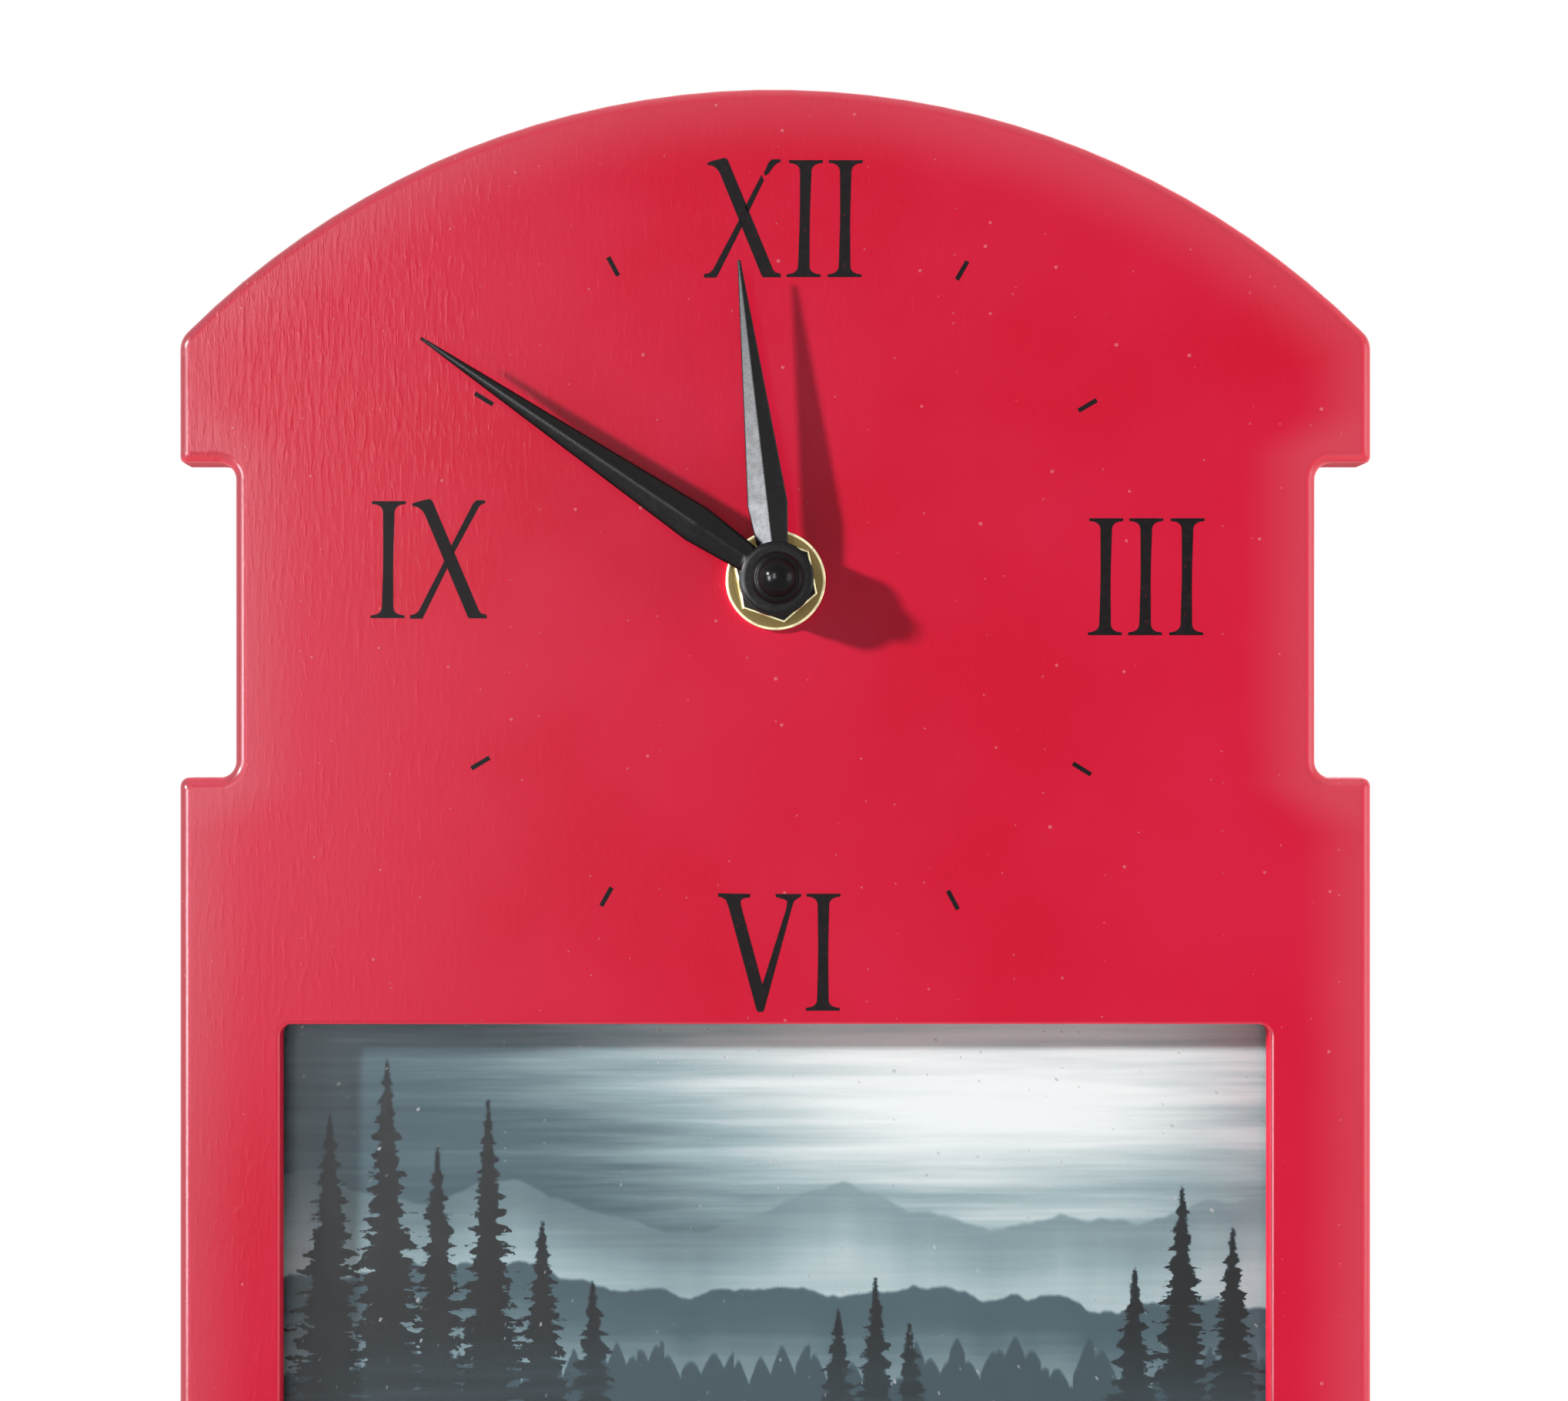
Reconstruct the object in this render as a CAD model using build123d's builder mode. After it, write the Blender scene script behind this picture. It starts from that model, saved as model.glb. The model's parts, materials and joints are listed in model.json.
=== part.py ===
from build123d import *
import os
from math import acos, cos, pi, radians, sin, sqrt

# A leaning table clock: a painted board with a domed, notched outline carries a quartz
# movement in its upper half and a glazed picture window in its lower half, and an easel
# strut holds it up from behind.
# Lengths are in millimetres. The clock stands on the plane Z = 0, faces -Y and leans back.
# On the board, "across" runs along X, "up" runs up the front face and "out" points at the
# viewer, with zero on the front face, on the centre line, where the face meets the table.

os.makedirs("parts", exist_ok=True)

# Stance
lean_angle = 10
strut_angle = 10

# Board
board_width = 175.0
board_height = 260.0
board_thickness = 9.0
dome_rise = 36.8
cap_side = 18.2
notch_height = 46.2
notch_depth = 8.2
notch_root_radius = 2.4
dome_corner_radius = 3.6
cap_corner_radius = 0.9
body_corner_radius = 1.3
front_edge_radius = 1.8
window_edge_radius = 0.5

# Picture
window_rail = 14.8
window_sill = 27.2
window_corner_radius = 1.7
print_lip = 3.3
print_thickness = 0.3
glass_thickness = 1.8
backing_thickness = 1.9
rabbet_play = 0.5
rabbet_corner_radius = 3.0
glass_play = 0.3
print_gap = 0.05

# Shaft and nut
shaft_drop = 72.3
bushing_wall = 1.38
tube_play = 0.07
bushing_rise = 3.6
shaft_hole_play = 0.2
nut_flange_radius = 7.3
nut_flange_thickness = 0.8
nut_across_flats = 11.0
nut_height = 3.0
nut_sides = 6
nut_turn_angle = 41
nut_flat_chamfer = 0.7
thread_play = 0.05
gasket_radius = 12.0
gasket_thickness = 0.6

# Battery
battery_radius = 7.25
battery_length = 50.5
battery_nub_radius = 2.7
battery_nub_length = 1.5
battery_edge_radius = 0.6
battery_play = 0.4
battery_proud = 0.5
contact_space = 1.25
contact_thickness = 0.4
contact_width = 8.0
contact_touch = 0.05
contact_bow_radius = 2.4

# Movement case
case_wall = 1.5
case_front_wall = 1.6
case_back_wall = 1.6
case_corner_radius = 3.0
case_rise = 28.0
bay_wall = 1.2
pocket_play = 1.2
cover_lip_height = 1.2
cover_lip_wall = 1.0
cover_play = 0.15
catch_width = 7.0
catch_length = 5.0
catch_thickness = 0.9
catch_rim = 1.2
catch_inset = 13.0
catch_play = 0.1
catch_nub_height = 0.7
catch_nub_play = 0.25
bay_edge = 0.8
hanger_width = 18.0
hanger_height = 10.0
hanger_corner_radius = 4.0
hanger_slot_width = 11.0
hanger_slot_height = 6.0
post_radius = 1.8

# Motion work
train_centre = 11.25
minute_pinion_teeth = 12
motion_wheel_teeth = 36
motion_pinion_teeth = 10
hour_wheel_teeth = 40
drive_wheel_teeth = 60
drive_arbor_gap = 1.5
pressure_angle = 20
backlash_share = 0.12
wheel_addendum_share = 0.75
pinion_addendum_share = 0.95
dedendum_share = 1.25
wheel_room = 0.65
end_shake = 0.15
hour_wheel_gap = 0.2
motion_pinion_thickness = 1.8
motion_wheel_thickness = 1.2
minute_pinion_thickness = 1.5
drive_wheel_thickness = 1.0
drive_gap = 0.5
drive_hub_radius = 2.2
wheel_hole_count = 5
wheel_hole_radius = 1.5
minute_arbor_radius = 1.7
tube_wall = 0.8
running_play = 0.05
minute_pivot_radius = 0.6
motion_arbor_radius = 0.75
pivot_depth = 0.8
train_plate_thickness = 1.2
train_plate_gap = 1.6
knob_radius = 6.0
knob_thickness = 4.4
knob_gap = 0.3
knob_flute_count = 20
knob_flute_radius = 0.7
knob_edge = 0.5

# Drive and electronics
motor_block_height = 18.4
motor_block_radius = 2.0
block_gap = 0.25
block_wall_gap = 1.75
stator_thickness = 0.7
stator_width = 5.0
coil_radius = 2.3
coil_length = 15.0
coil_flange_radius = 2.45
coil_flange_thickness = 0.8
coil_place_across = 18.0
coil_place_up = 6.0
coil_room = 0.3
core_width = 2.0
core_height = 1.2
rotor_place_across = 9.0
rotor_hole_radius = 2.0
circuit_width = 19.0
circuit_height = 20.0
circuit_thickness = 0.8
circuit_gap = 3.0
chip_radius = 2.6
chip_height = 0.8
quartz_radius = 1.0
quartz_length = 6.0
seat_play = 0.03

# Hands
minute_hand_angle = 304.0
hour_hand_angle = 353.3
minute_hand_reach = 62.1
minute_hand_belly_place = 14.0
minute_hand_root_half = 1.86
minute_hand_belly_half = 2.82
hour_hand_reach = 46.6
hour_hand_belly_place = 10.95
hour_hand_root_half = 2.08
hour_hand_belly_half = 2.93
hand_tip_half = 0.22
hand_edge_thickness = 0.25
hand_ridge_share = 0.45
hour_disc_radius = 5.45
hour_disc_thickness = 0.7
hour_collar_radius = 3.3
hour_collar_height = 0.8
hour_hand_gap = 0.2
hour_tube_proud = 0.5
minute_disc_radius = 5.3
minute_disc_thickness = 1.4
minute_collar_radius = 2.7
minute_collar_height = 0.5
minute_hand_gap = 0.2
hand_blade_lift = 0.1
hand_bore_play = 0.02
arbor_tip_radius = 1.3
arbor_tip_length = 2.2
cap_rim_radius = 3.75
cap_rim_height = 0.9
cap_lip_radius = 3.25
cap_lip_height = 1.5
cap_dome_radius = 2.85
cap_height = 4.0
cap_bore_spare = 0.3

# Turn buttons and their screws
button_length = 16.0
button_width = 7.0
button_thickness = 1.2
button_play = 0.1
button_bite = 7.0
button_inset = 26.5
screw_radius = 1.4
screw_head_radius = 2.7
screw_head_height = 1.6
screw_length = 6.5
screw_hole_play = 0.1
screw_slot_width = 0.6
screw_slot_depth = 0.7
pilot_play = 0.02

# Easel strut and its hinge
strut_case_gap = 3.7
leaf_land = 1.6
leaf_thickness = 1.0
leaf_width = 24.0
leaf_length = 12.0
barrel_radius = 2.0
barrel_gap = 0.2
barrel_standoff = 0.3
hinge_pin_radius = 1.1
hinge_pin_play = 0.05
hinge_pin_head = 0.6
knuckle_count = 3
knuckle_gap = 0.15
leaf_screw_radius = 1.1
leaf_screw_head_radius = 2.1
leaf_screw_cover = 0.8
leaf_screw_end = 4.0
leaf_screw_side = 5.0
leaf_screw_play = 0.1
leaf_slot_width = 0.5
leaf_slot_depth = 0.35
leaf_corner_radius = 1.5
strut_thickness = 5.0
strut_top_width = 30.0
strut_foot_width = 58.0
strut_top_reach = 16.0
strut_corner_radius = 3.0
strut_edge_radius = 0.8
strut_stop_gap = 0.05

# One overrun for every cut that has to pass right through
overrun = 5.0

# Places worked out from the sizes above
lean = radians(lean_angle)
splay = radians(strut_angle)
out_direction = Vector(0, -cos(lean), sin(lean))
up_direction = Vector(0, sin(lean), cos(lean))
away_direction = Vector(0, cos(splay), sin(splay))
face_web = board_thickness - glass_thickness - print_gap - print_thickness - backing_thickness
shaft_up = board_height - shaft_drop

# Places across the movement, measured from the shaft
minute_module = 2 * train_centre / (minute_pinion_teeth + motion_wheel_teeth)
hour_module = 2 * train_centre / (motion_pinion_teeth + hour_wheel_teeth)
drive_wheel_radius = train_centre - motion_arbor_radius - drive_arbor_gap
drive_module = 2 * drive_wheel_radius / drive_wheel_teeth
hour_tip_radius = hour_module * (hour_wheel_teeth / 2 + wheel_addendum_share)
case_half = battery_length / 2 + contact_space + case_wall
inside_half = case_half - case_wall
bay_top = -hour_tip_radius - wheel_room
bay_ceiling = bay_top - bay_wall
battery_up = bay_ceiling - battery_play - battery_radius
bay_floor = battery_up - battery_radius - battery_play
case_bottom = bay_floor - case_wall
tube_radius = minute_arbor_radius + running_play + tube_wall
bushing_bore = tube_radius + tube_play
bushing_radius = bushing_bore + bushing_wall
block_right = -drive_wheel_radius - drive_module - block_gap
motor_block_width = inside_half + block_right - block_wall_gap

# Places down the board's back, from the case to the window
hinge_height = shaft_up + case_bottom - strut_case_gap - strut_top_reach
rabbet_top = hinge_height - leaf_length - leaf_land
rabbet_bottom = window_sill - print_lip - rabbet_play
rabbet_height = rabbet_top - rabbet_bottom
print_height = rabbet_height - 2 * rabbet_play
print_width = board_width - 2 * window_rail + 2 * print_lip
rabbet_width = print_width + 2 * rabbet_play
rabbet_depth = board_thickness - face_web
window_width = print_width - 2 * print_lip
window_height = print_height - 2 * print_lip
window_middle = (rabbet_top + rabbet_bottom) / 2
button_place_across = rabbet_width / 2 - button_inset
leaf_screw_place = leaf_length - leaf_screw_end
leaf_screw_spacing = leaf_width - 2 * leaf_screw_side
leaf_screw_length = strut_thickness - leaf_screw_cover

# The stance, and the planes that the pieces are drawn on
strut_inner = barrel_radius + barrel_gap
strut_outer = strut_inner + strut_thickness
pin_out = -board_thickness - barrel_standoff - barrel_radius
pin_rise = hinge_height * cos(lean) + pin_out * sin(lean)
pin_back = hinge_height * sin(lean) - pin_out * cos(lean)
foot_reach = (pin_rise + strut_outer * sin(splay)) / cos(splay)
stand_depth = pin_back + foot_reach * sin(splay) + strut_outer * cos(splay)
board_front = Plane(origin=(0, -stand_depth / 2, 0), x_dir=(1, 0, 0), z_dir=out_direction)
board_back = board_front.offset(-board_thickness)
half_width = board_width / 2
waist_half = half_width - notch_depth
dome_spring = board_height - dome_rise
notch_top = dome_spring - cap_side
notch_bottom = notch_top - notch_height
shaft_front = Plane(
    origin=board_front.from_local_coords((0, shaft_up, 0)), x_dir=(1, 0, 0), z_dir=out_direction
)

# Levels through the movement, all measured out from the board's front face
case_front = -face_web - gasket_thickness
case_inside = case_front - case_front_wall
hour_wheel_front = case_inside - end_shake
motion_pinion_front = case_inside - 2 * end_shake
motion_wheel_front = motion_pinion_front - motion_pinion_thickness
motion_wheel_back = motion_wheel_front - motion_wheel_thickness
minute_pinion_front = motion_wheel_front + end_shake
minute_pinion_back = minute_pinion_front - minute_pinion_thickness
hour_wheel_thickness = hour_wheel_front - minute_pinion_front - hour_wheel_gap
hour_wheel_back = hour_wheel_front - hour_wheel_thickness
drive_wheel_front = motion_wheel_back - drive_gap
drive_wheel_back = drive_wheel_front - drive_wheel_thickness
plate_front = drive_wheel_back - train_plate_gap
plate_back = plate_front - train_plate_thickness
battery_out = case_inside - battery_play - battery_radius
battery_room = case_inside - battery_out + battery_radius - battery_proud
train_room = case_inside - plate_back + 2 * coil_flange_radius + coil_room
case_depth = case_front_wall + max(battery_room, train_room + case_back_wall)
case_back = case_front - case_depth
cover_inside = case_back + case_back_wall

# Levels of the hands, in front of the board's face
hour_disc_level = bushing_rise + hour_hand_gap + hour_collar_height
hour_tube_rise = hour_disc_level + hour_disc_thickness + hour_tube_proud
minute_disc_level = hour_tube_rise + minute_hand_gap + minute_collar_height
minute_hand_top = minute_disc_level + minute_disc_thickness


def write_piece(builder, name):
    """Label one finished piece and write its file."""
    builder.part.label = name
    export_step(builder.part, f"parts/{name}.step")


def gear_tooth(teeth, module, addendum_share):
    """One tooth pointing along +X, from inside the root circle to the tip, with involute flanks."""
    pitch_radius = teeth * module / 2
    base_radius = pitch_radius * cos(radians(pressure_angle))
    tip_radius = pitch_radius + addendum_share * module
    root_radius = pitch_radius - dedendum_share * module
    half_at_pitch = pi / (2 * teeth) * (1 - backlash_share)

    def involute(radius):
        reach = max(radius, base_radius)
        return sqrt((reach / base_radius) ** 2 - 1) - acos(base_radius / reach)

    def flank_point(radius):
        half = half_at_pitch + involute(pitch_radius) - involute(radius)
        return (radius * cos(half), radius * sin(half))

    flank = [flank_point(radius) for radius in (root_radius, pitch_radius, tip_radius)]
    mirrored = [(along, -aside) for along, aside in flank]
    with BuildSketch() as tooth:
        with BuildLine():
            Polyline(*mirrored, *reversed(flank), (root_radius - module, 0), close=True)
        make_face()
    return tooth.sketch


def draw_gear(teeth, module, addendum_share, start_angle):
    """Draw a toothed disc in the open sketch, with one tooth at the start angle."""
    Circle(teeth * module / 2 - dedendum_share * module)
    with PolarLocations(0, teeth, start_angle=start_angle):
        add(gear_tooth(teeth, module, addendum_share))


def make_front_board():
    """The painted board: outline, window with its rabbet, movement pocket, shaft and pilot holes."""
    with BuildPart() as board:
        with BuildSketch(board_front) as face:
            with BuildLine():
                Polyline(
                    (0, 0),
                    (half_width, 0),
                    (half_width, notch_bottom),
                    (waist_half, notch_bottom),
                    (waist_half, notch_top),
                    (half_width, notch_top),
                    (half_width, dome_spring),
                )
                mirror(about=Plane.YZ)
                ThreePointArc((half_width, dome_spring), (0, board_height), (-half_width, dome_spring))
            make_face()
            fillet(face.vertices().filter_by(lambda spot: spot.Y > (notch_top + dome_spring) / 2), dome_corner_radius)
            notch_middle = (notch_top + notch_bottom) / 2
            step_middle = (waist_half + half_width) / 2
            fillet(
                face.vertices().filter_by(
                    lambda spot: abs(spot.X) > step_middle
                    and notch_middle < spot.Y < (notch_top + dome_spring) / 2
                ),
                cap_corner_radius,
            )
            fillet(
                face.vertices().filter_by(
                    lambda spot: abs(spot.X) > step_middle and notch_bottom / 2 < spot.Y < notch_middle
                ),
                body_corner_radius,
            )
            fillet(
                face.vertices().filter_by(lambda spot: abs(spot.X) < step_middle and spot.Y > 0),
                notch_root_radius,
            )
        extrude(amount=-board_thickness)
        split(bisect_by=Plane.XY, keep=Keep.TOP)
        front_face = board.faces().sort_by(Axis((0, 0, 0), out_direction))[-1]
        rim = front_face.edges().filter_by(lambda edge: edge.center().Z > front_edge_radius)
        fillet(rim, front_edge_radius)
        with BuildSketch(board_front):
            with Locations((0, window_middle)):
                RectangleRounded(window_width, window_height, window_corner_radius)
        extrude(amount=-board_thickness, mode=Mode.SUBTRACT)
        front_face = board.faces().sort_by(Axis((0, 0, 0), out_direction))[-1]
        fillet(front_face.inner_wires()[0].edges(), window_edge_radius)
        with BuildSketch(board_back):
            with Locations((0, window_middle)):
                RectangleRounded(rabbet_width, rabbet_height, rabbet_corner_radius)
            with Locations((0, shaft_up + (case_rise + case_bottom) / 2)):
                RectangleRounded(
                    2 * (case_half + pocket_play),
                    case_rise - case_bottom + 2 * pocket_play,
                    case_corner_radius,
                )
        extrude(amount=rabbet_depth, mode=Mode.SUBTRACT)
        with BuildSketch(shaft_front):
            Circle(bushing_radius + shaft_hole_play)
        extrude(amount=-board_thickness, mode=Mode.SUBTRACT)
        with BuildSketch(board_back):
            with Locations(*button_places()):
                Circle(screw_radius + pilot_play)
        extrude(amount=screw_length, mode=Mode.SUBTRACT)
        with BuildSketch(board_back):
            with Locations(*leaf_screw_places()):
                Circle(leaf_screw_radius + pilot_play)
        extrude(amount=leaf_screw_length, mode=Mode.SUBTRACT)
    write_piece(board, "front_board")


def button_places():
    """Pivot points of the turn buttons, two above the window's rabbet and two below it."""
    offset = rabbet_height / 2 + button_length - button_width / 2 - button_bite
    return [
        (side * button_place_across, window_middle + end * offset) for end in (1, -1) for side in (-1, 1)
    ]


def leaf_screw_places():
    """Screw points of the hinge leaf on the board."""
    return [(side * leaf_screw_spacing / 2, hinge_height - leaf_screw_place) for side in (-1, 1)]


def make_window_glass():
    """Clear pane against the inside of the window's lip."""
    with BuildPart() as pane:
        with BuildSketch(board_front.offset(-face_web)):
            with Locations((0, window_middle)):
                RectangleRounded(print_width + glass_play, print_height + glass_play, rabbet_corner_radius)
        extrude(amount=-glass_thickness)
    write_piece(pane, "window_glass")


def make_photo_print():
    """Printed sheet behind the pane."""
    with BuildPart() as sheet:
        with BuildSketch(board_front.offset(-face_web - glass_thickness - print_gap)):
            with Locations((0, window_middle)):
                RectangleRounded(print_width, print_height, rabbet_corner_radius)
        extrude(amount=-print_thickness)
    write_piece(sheet, "photo_print")


def make_backing_board():
    """Hardboard that closes the window's rabbet from behind, with a thumb notch in its top edge."""
    with BuildPart() as backing:
        with BuildSketch(board_back.offset(backing_thickness)):
            with Locations((0, window_middle)):
                RectangleRounded(print_width + glass_play, print_height + glass_play, rabbet_corner_radius)
            with Locations((0, window_middle + (print_height + glass_play) / 2)):
                Circle(button_bite, mode=Mode.SUBTRACT)
        extrude(amount=-backing_thickness)
    write_piece(backing, "backing_board")


def make_turn_button(number, place, turn):
    """Slotted-end button that turns about its screw and laps over the backing board."""
    across, up = place
    with BuildPart() as button:
        with BuildSketch(board_back.offset(-button_play)) as plate:
            with Locations((across, up - turn * (button_length - button_width) / 2)):
                SlotOverall(button_length, button_width, rotation=90)
            with Locations(place):
                Circle(screw_radius + screw_hole_play, mode=Mode.SUBTRACT)
        extrude(amount=-button_thickness)
        plate_edges = button.faces().sort_by(Axis((0, 0, 0), out_direction))[0].outer_wire().edges()
        fillet(plate_edges, button_thickness / 4)
    write_piece(button, f"turn_button_{number}")


def make_button_screws():
    """Pan-head screws that the turn buttons pivot on."""
    head_seat = board_back.offset(-2 * button_play - button_thickness)
    with BuildPart() as screws:
        with BuildSketch(board_back.offset(screw_length)):
            with Locations(*button_places()):
                Circle(screw_radius)
        extrude(amount=-screw_length - 2 * button_play - button_thickness)
        with BuildSketch(head_seat):
            with Locations(*button_places()):
                Circle(screw_head_radius)
        extrude(amount=-screw_head_height)
        head_faces = screws.faces().filter_by(Plane(origin=(0, 0, 0), z_dir=out_direction))
        tops = head_faces.group_by(Axis((0, 0, 0), out_direction))[0]
        fillet(tops.edges(), screw_head_height / 2)
        with BuildSketch(head_seat.offset(-screw_head_height)):
            with Locations(*button_places()):
                Rectangle(2 * screw_head_radius, screw_slot_width, rotation=lean_angle)
        extrude(amount=screw_slot_depth, mode=Mode.SUBTRACT)
    write_piece(screws, "turn_button_screws")


def make_gasket():
    """Rubber washer between the board and the movement."""
    with BuildPart() as gasket:
        with BuildSketch(shaft_front.offset(-face_web)):
            Circle(gasket_radius)
            Circle(bushing_radius + thread_play, mode=Mode.SUBTRACT)
        extrude(amount=-gasket_thickness)
    write_piece(gasket, "rubber_gasket")


def draw_case_outline(inset):
    """Draw the case's rounded outline in the open sketch, drawn in by the inset."""
    with Locations((0, (case_rise + case_bottom) / 2)):
        RectangleRounded(
            2 * (case_half - inset),
            case_rise - case_bottom - 2 * inset,
            max(case_corner_radius - inset, case_corner_radius / 4),
        )


def side_wall(side):
    """Plane on one side wall of the case, level with the shaft, whose second axis points out."""
    origin = shaft_front.from_local_coords((side * case_half, 0, 0))
    return Plane(origin=origin, x_dir=up_direction * side, z_dir=(side, 0, 0))


def catch_places():
    """Heights of the snap catches on each side wall, measured up from the shaft."""
    return (case_rise - catch_inset, case_bottom + catch_inset)


def make_movement_case():
    """Front half of the housing, with its bushing, battery bay, three posts and catch nubs."""
    with BuildPart() as case:
        with BuildSketch(shaft_front.offset(case_front)):
            draw_case_outline(0)
        extrude(amount=cover_inside - case_front)
        with BuildSketch(shaft_front.offset(case_inside)):
            draw_case_outline(case_wall)
        extrude(amount=cover_inside - case_inside, mode=Mode.SUBTRACT)
        with BuildSketch(shaft_front.offset(case_inside)):
            with Locations((0, (bay_top + bay_ceiling) / 2)):
                Rectangle(2 * inside_half, bay_wall)
        extrude(amount=cover_inside - case_inside)
        post_up = case_rise - case_wall - 2 * post_radius
        post_across = inside_half - 2 * post_radius
        with BuildSketch(shaft_front.offset(case_inside)):
            with Locations(
                (-post_across, post_up), (post_across, post_up), (post_across, bay_top + 2 * post_radius)
            ):
                Circle(post_radius)
        extrude(amount=plate_front - case_inside)
        with BuildSketch(shaft_front.offset(case_inside)):
            Circle(bushing_radius)
        extrude(amount=bushing_rise - case_inside)
        with BuildSketch(shaft_front.offset(case_inside)):
            Circle(bushing_bore)
        extrude(amount=bushing_rise - case_inside, mode=Mode.SUBTRACT)
        with BuildSketch(shaft_front.offset(case_inside)):
            with Locations((0, train_centre)):
                Circle(motion_arbor_radius + running_play)
        extrude(amount=pivot_depth + end_shake, mode=Mode.SUBTRACT)
        nub_width = catch_width - 2 * catch_rim - 2 * catch_nub_play
        nub_length = catch_length - 2 * catch_rim - 2 * catch_nub_play
        for side in (-1, 1):
            with BuildSketch(side_wall(side)):
                with Locations(*((side * up, cover_inside + catch_length / 2) for up in catch_places())):
                    Rectangle(nub_width, nub_length)
            extrude(amount=catch_nub_height, taper=20)
    write_piece(case, "movement_case")


def make_back_cover():
    """Rear cover with its lip, snap catches, open battery bay, setting hole and hanging loop."""
    hanger_up = case_rise + hanger_height / 2 - hanger_corner_radius / 2
    with BuildPart() as cover:
        with BuildSketch(shaft_front.offset(cover_inside)):
            draw_case_outline(0)
        extrude(amount=-case_back_wall)
        with BuildSketch(shaft_front.offset(cover_inside)):
            draw_case_outline(case_wall + cover_play)
            draw_inner_lip()
        extrude(amount=cover_lip_height)
        with BuildSketch(shaft_front.offset(case_back)):
            with Locations((0, hanger_up)):
                RectangleRounded(hanger_width, hanger_height + hanger_corner_radius, hanger_corner_radius)
        extrude(amount=case_back_wall)
        with BuildSketch(shaft_front.offset(case_back)):
            with Locations((0, case_rise + hanger_height / 2)):
                SlotOverall(hanger_slot_width, hanger_slot_height)
            with Locations((0, (bay_ceiling + bay_floor) / 2)):
                Rectangle(2 * (inside_half - bay_edge), bay_ceiling - bay_floor)
            with Locations((0, train_centre)):
                Circle(motion_arbor_radius + 2 * running_play)
        extrude(amount=case_depth, mode=Mode.SUBTRACT)
        arm_reach = case_back_wall + catch_length
        for side in (-1, 1):
            with BuildSketch(side_wall(side)):
                with Locations(*((side * up, case_back) for up in catch_places())):
                    Rectangle(catch_width, case_back_wall, align=(Align.CENTER, Align.MIN))
            extrude(amount=catch_play)
            with BuildSketch(side_wall(side).offset(catch_play)):
                with Locations(*((side * up, case_back) for up in catch_places())):
                    Rectangle(catch_width, arm_reach, align=(Align.CENTER, Align.MIN))
            extrude(amount=catch_thickness)
            with BuildSketch(side_wall(side)):
                with Locations(*((side * up, cover_inside + catch_length / 2) for up in catch_places())):
                    Rectangle(catch_width - 2 * catch_rim, catch_length - 2 * catch_rim)
            extrude(amount=catch_play + catch_thickness, mode=Mode.SUBTRACT)
    write_piece(cover, "movement_back_cover")


def draw_inner_lip():
    """Cut the open sketch down to a lip around the mechanism, clear of the battery bay."""
    lip_top = case_rise - case_wall - cover_play - cover_lip_wall
    lip_bottom = bay_top + cover_play + cover_lip_wall
    lip_half = inside_half - cover_play - cover_lip_wall
    with Locations((0, (lip_top + lip_bottom) / 2)):
        Rectangle(2 * lip_half, lip_top - lip_bottom, mode=Mode.SUBTRACT)
    with Locations((0, bay_top + cover_play)):
        Rectangle(2 * case_half, case_rise - case_bottom, align=(Align.CENTER, Align.MAX), mode=Mode.SUBTRACT)


def make_train_plate():
    """Plate across the case that carries the rear pivots of the train."""
    with BuildPart() as plate:
        with BuildSketch(shaft_front.offset(plate_front)):
            low = bay_top + cover_play
            high = case_rise - case_wall - cover_play
            with Locations((0, (low + high) / 2)):
                RectangleRounded(2 * (inside_half - cover_play), high - low, post_radius)
            Circle(minute_pivot_radius + running_play, mode=Mode.SUBTRACT)
            with Locations((0, train_centre)):
                Circle(motion_arbor_radius + running_play, mode=Mode.SUBTRACT)
        extrude(amount=-train_plate_thickness)
    write_piece(plate, "train_plate")


def make_shaft_nut():
    """Brass nut with a round flange that clamps the movement to the board."""
    with BuildPart() as nut:
        with BuildSketch(shaft_front):
            Circle(nut_flange_radius)
        extrude(amount=nut_flange_thickness)
        with BuildSketch(shaft_front.offset(nut_flange_thickness)):
            RegularPolygon(nut_across_flats / 2, nut_sides, major_radius=False, rotation=nut_turn_angle)
        extrude(amount=nut_height - nut_flange_thickness)
        with BuildSketch(shaft_front.offset(nut_height - nut_flat_chamfer)):
            RegularPolygon(nut_across_flats, nut_sides, major_radius=False)
            Circle(nut_across_flats / 2, mode=Mode.SUBTRACT)
        extrude(amount=nut_flat_chamfer, taper=-45, mode=Mode.SUBTRACT)
        with BuildSketch(shaft_front):
            Circle(bushing_radius + thread_play)
        extrude(amount=nut_height, mode=Mode.SUBTRACT)
    write_piece(nut, "shaft_nut")


def make_minute_arbor():
    """Minute arbor: drive wheel, pinion, spindle through the hour tube and its tip for the cap nut."""
    with BuildPart() as arbor:
        with BuildSketch(shaft_front.offset(drive_wheel_front)):
            draw_gear(drive_wheel_teeth, drive_module, wheel_addendum_share, 90)
            with PolarLocations((drive_wheel_radius + drive_hub_radius) / 2, wheel_hole_count):
                Circle(wheel_hole_radius, mode=Mode.SUBTRACT)
        extrude(amount=-drive_wheel_thickness)
        with BuildSketch(shaft_front.offset(drive_wheel_front)):
            Circle(drive_hub_radius)
        extrude(amount=minute_pinion_back - drive_wheel_front)
        with BuildSketch(shaft_front.offset(minute_pinion_back)):
            draw_gear(minute_pinion_teeth, minute_module, pinion_addendum_share, 90)
        extrude(amount=minute_pinion_thickness)
        with BuildSketch(shaft_front.offset(minute_pinion_front)):
            Circle(minute_arbor_radius)
        extrude(amount=minute_hand_top - minute_pinion_front)
        with BuildSketch(shaft_front.offset(minute_hand_top)):
            Circle(arbor_tip_radius)
        extrude(amount=arbor_tip_length)
        with BuildSketch(shaft_front.offset(drive_wheel_back)):
            Circle(minute_pivot_radius)
        extrude(amount=plate_back - drive_wheel_back)
    write_piece(arbor, "minute_arbor")


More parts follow.
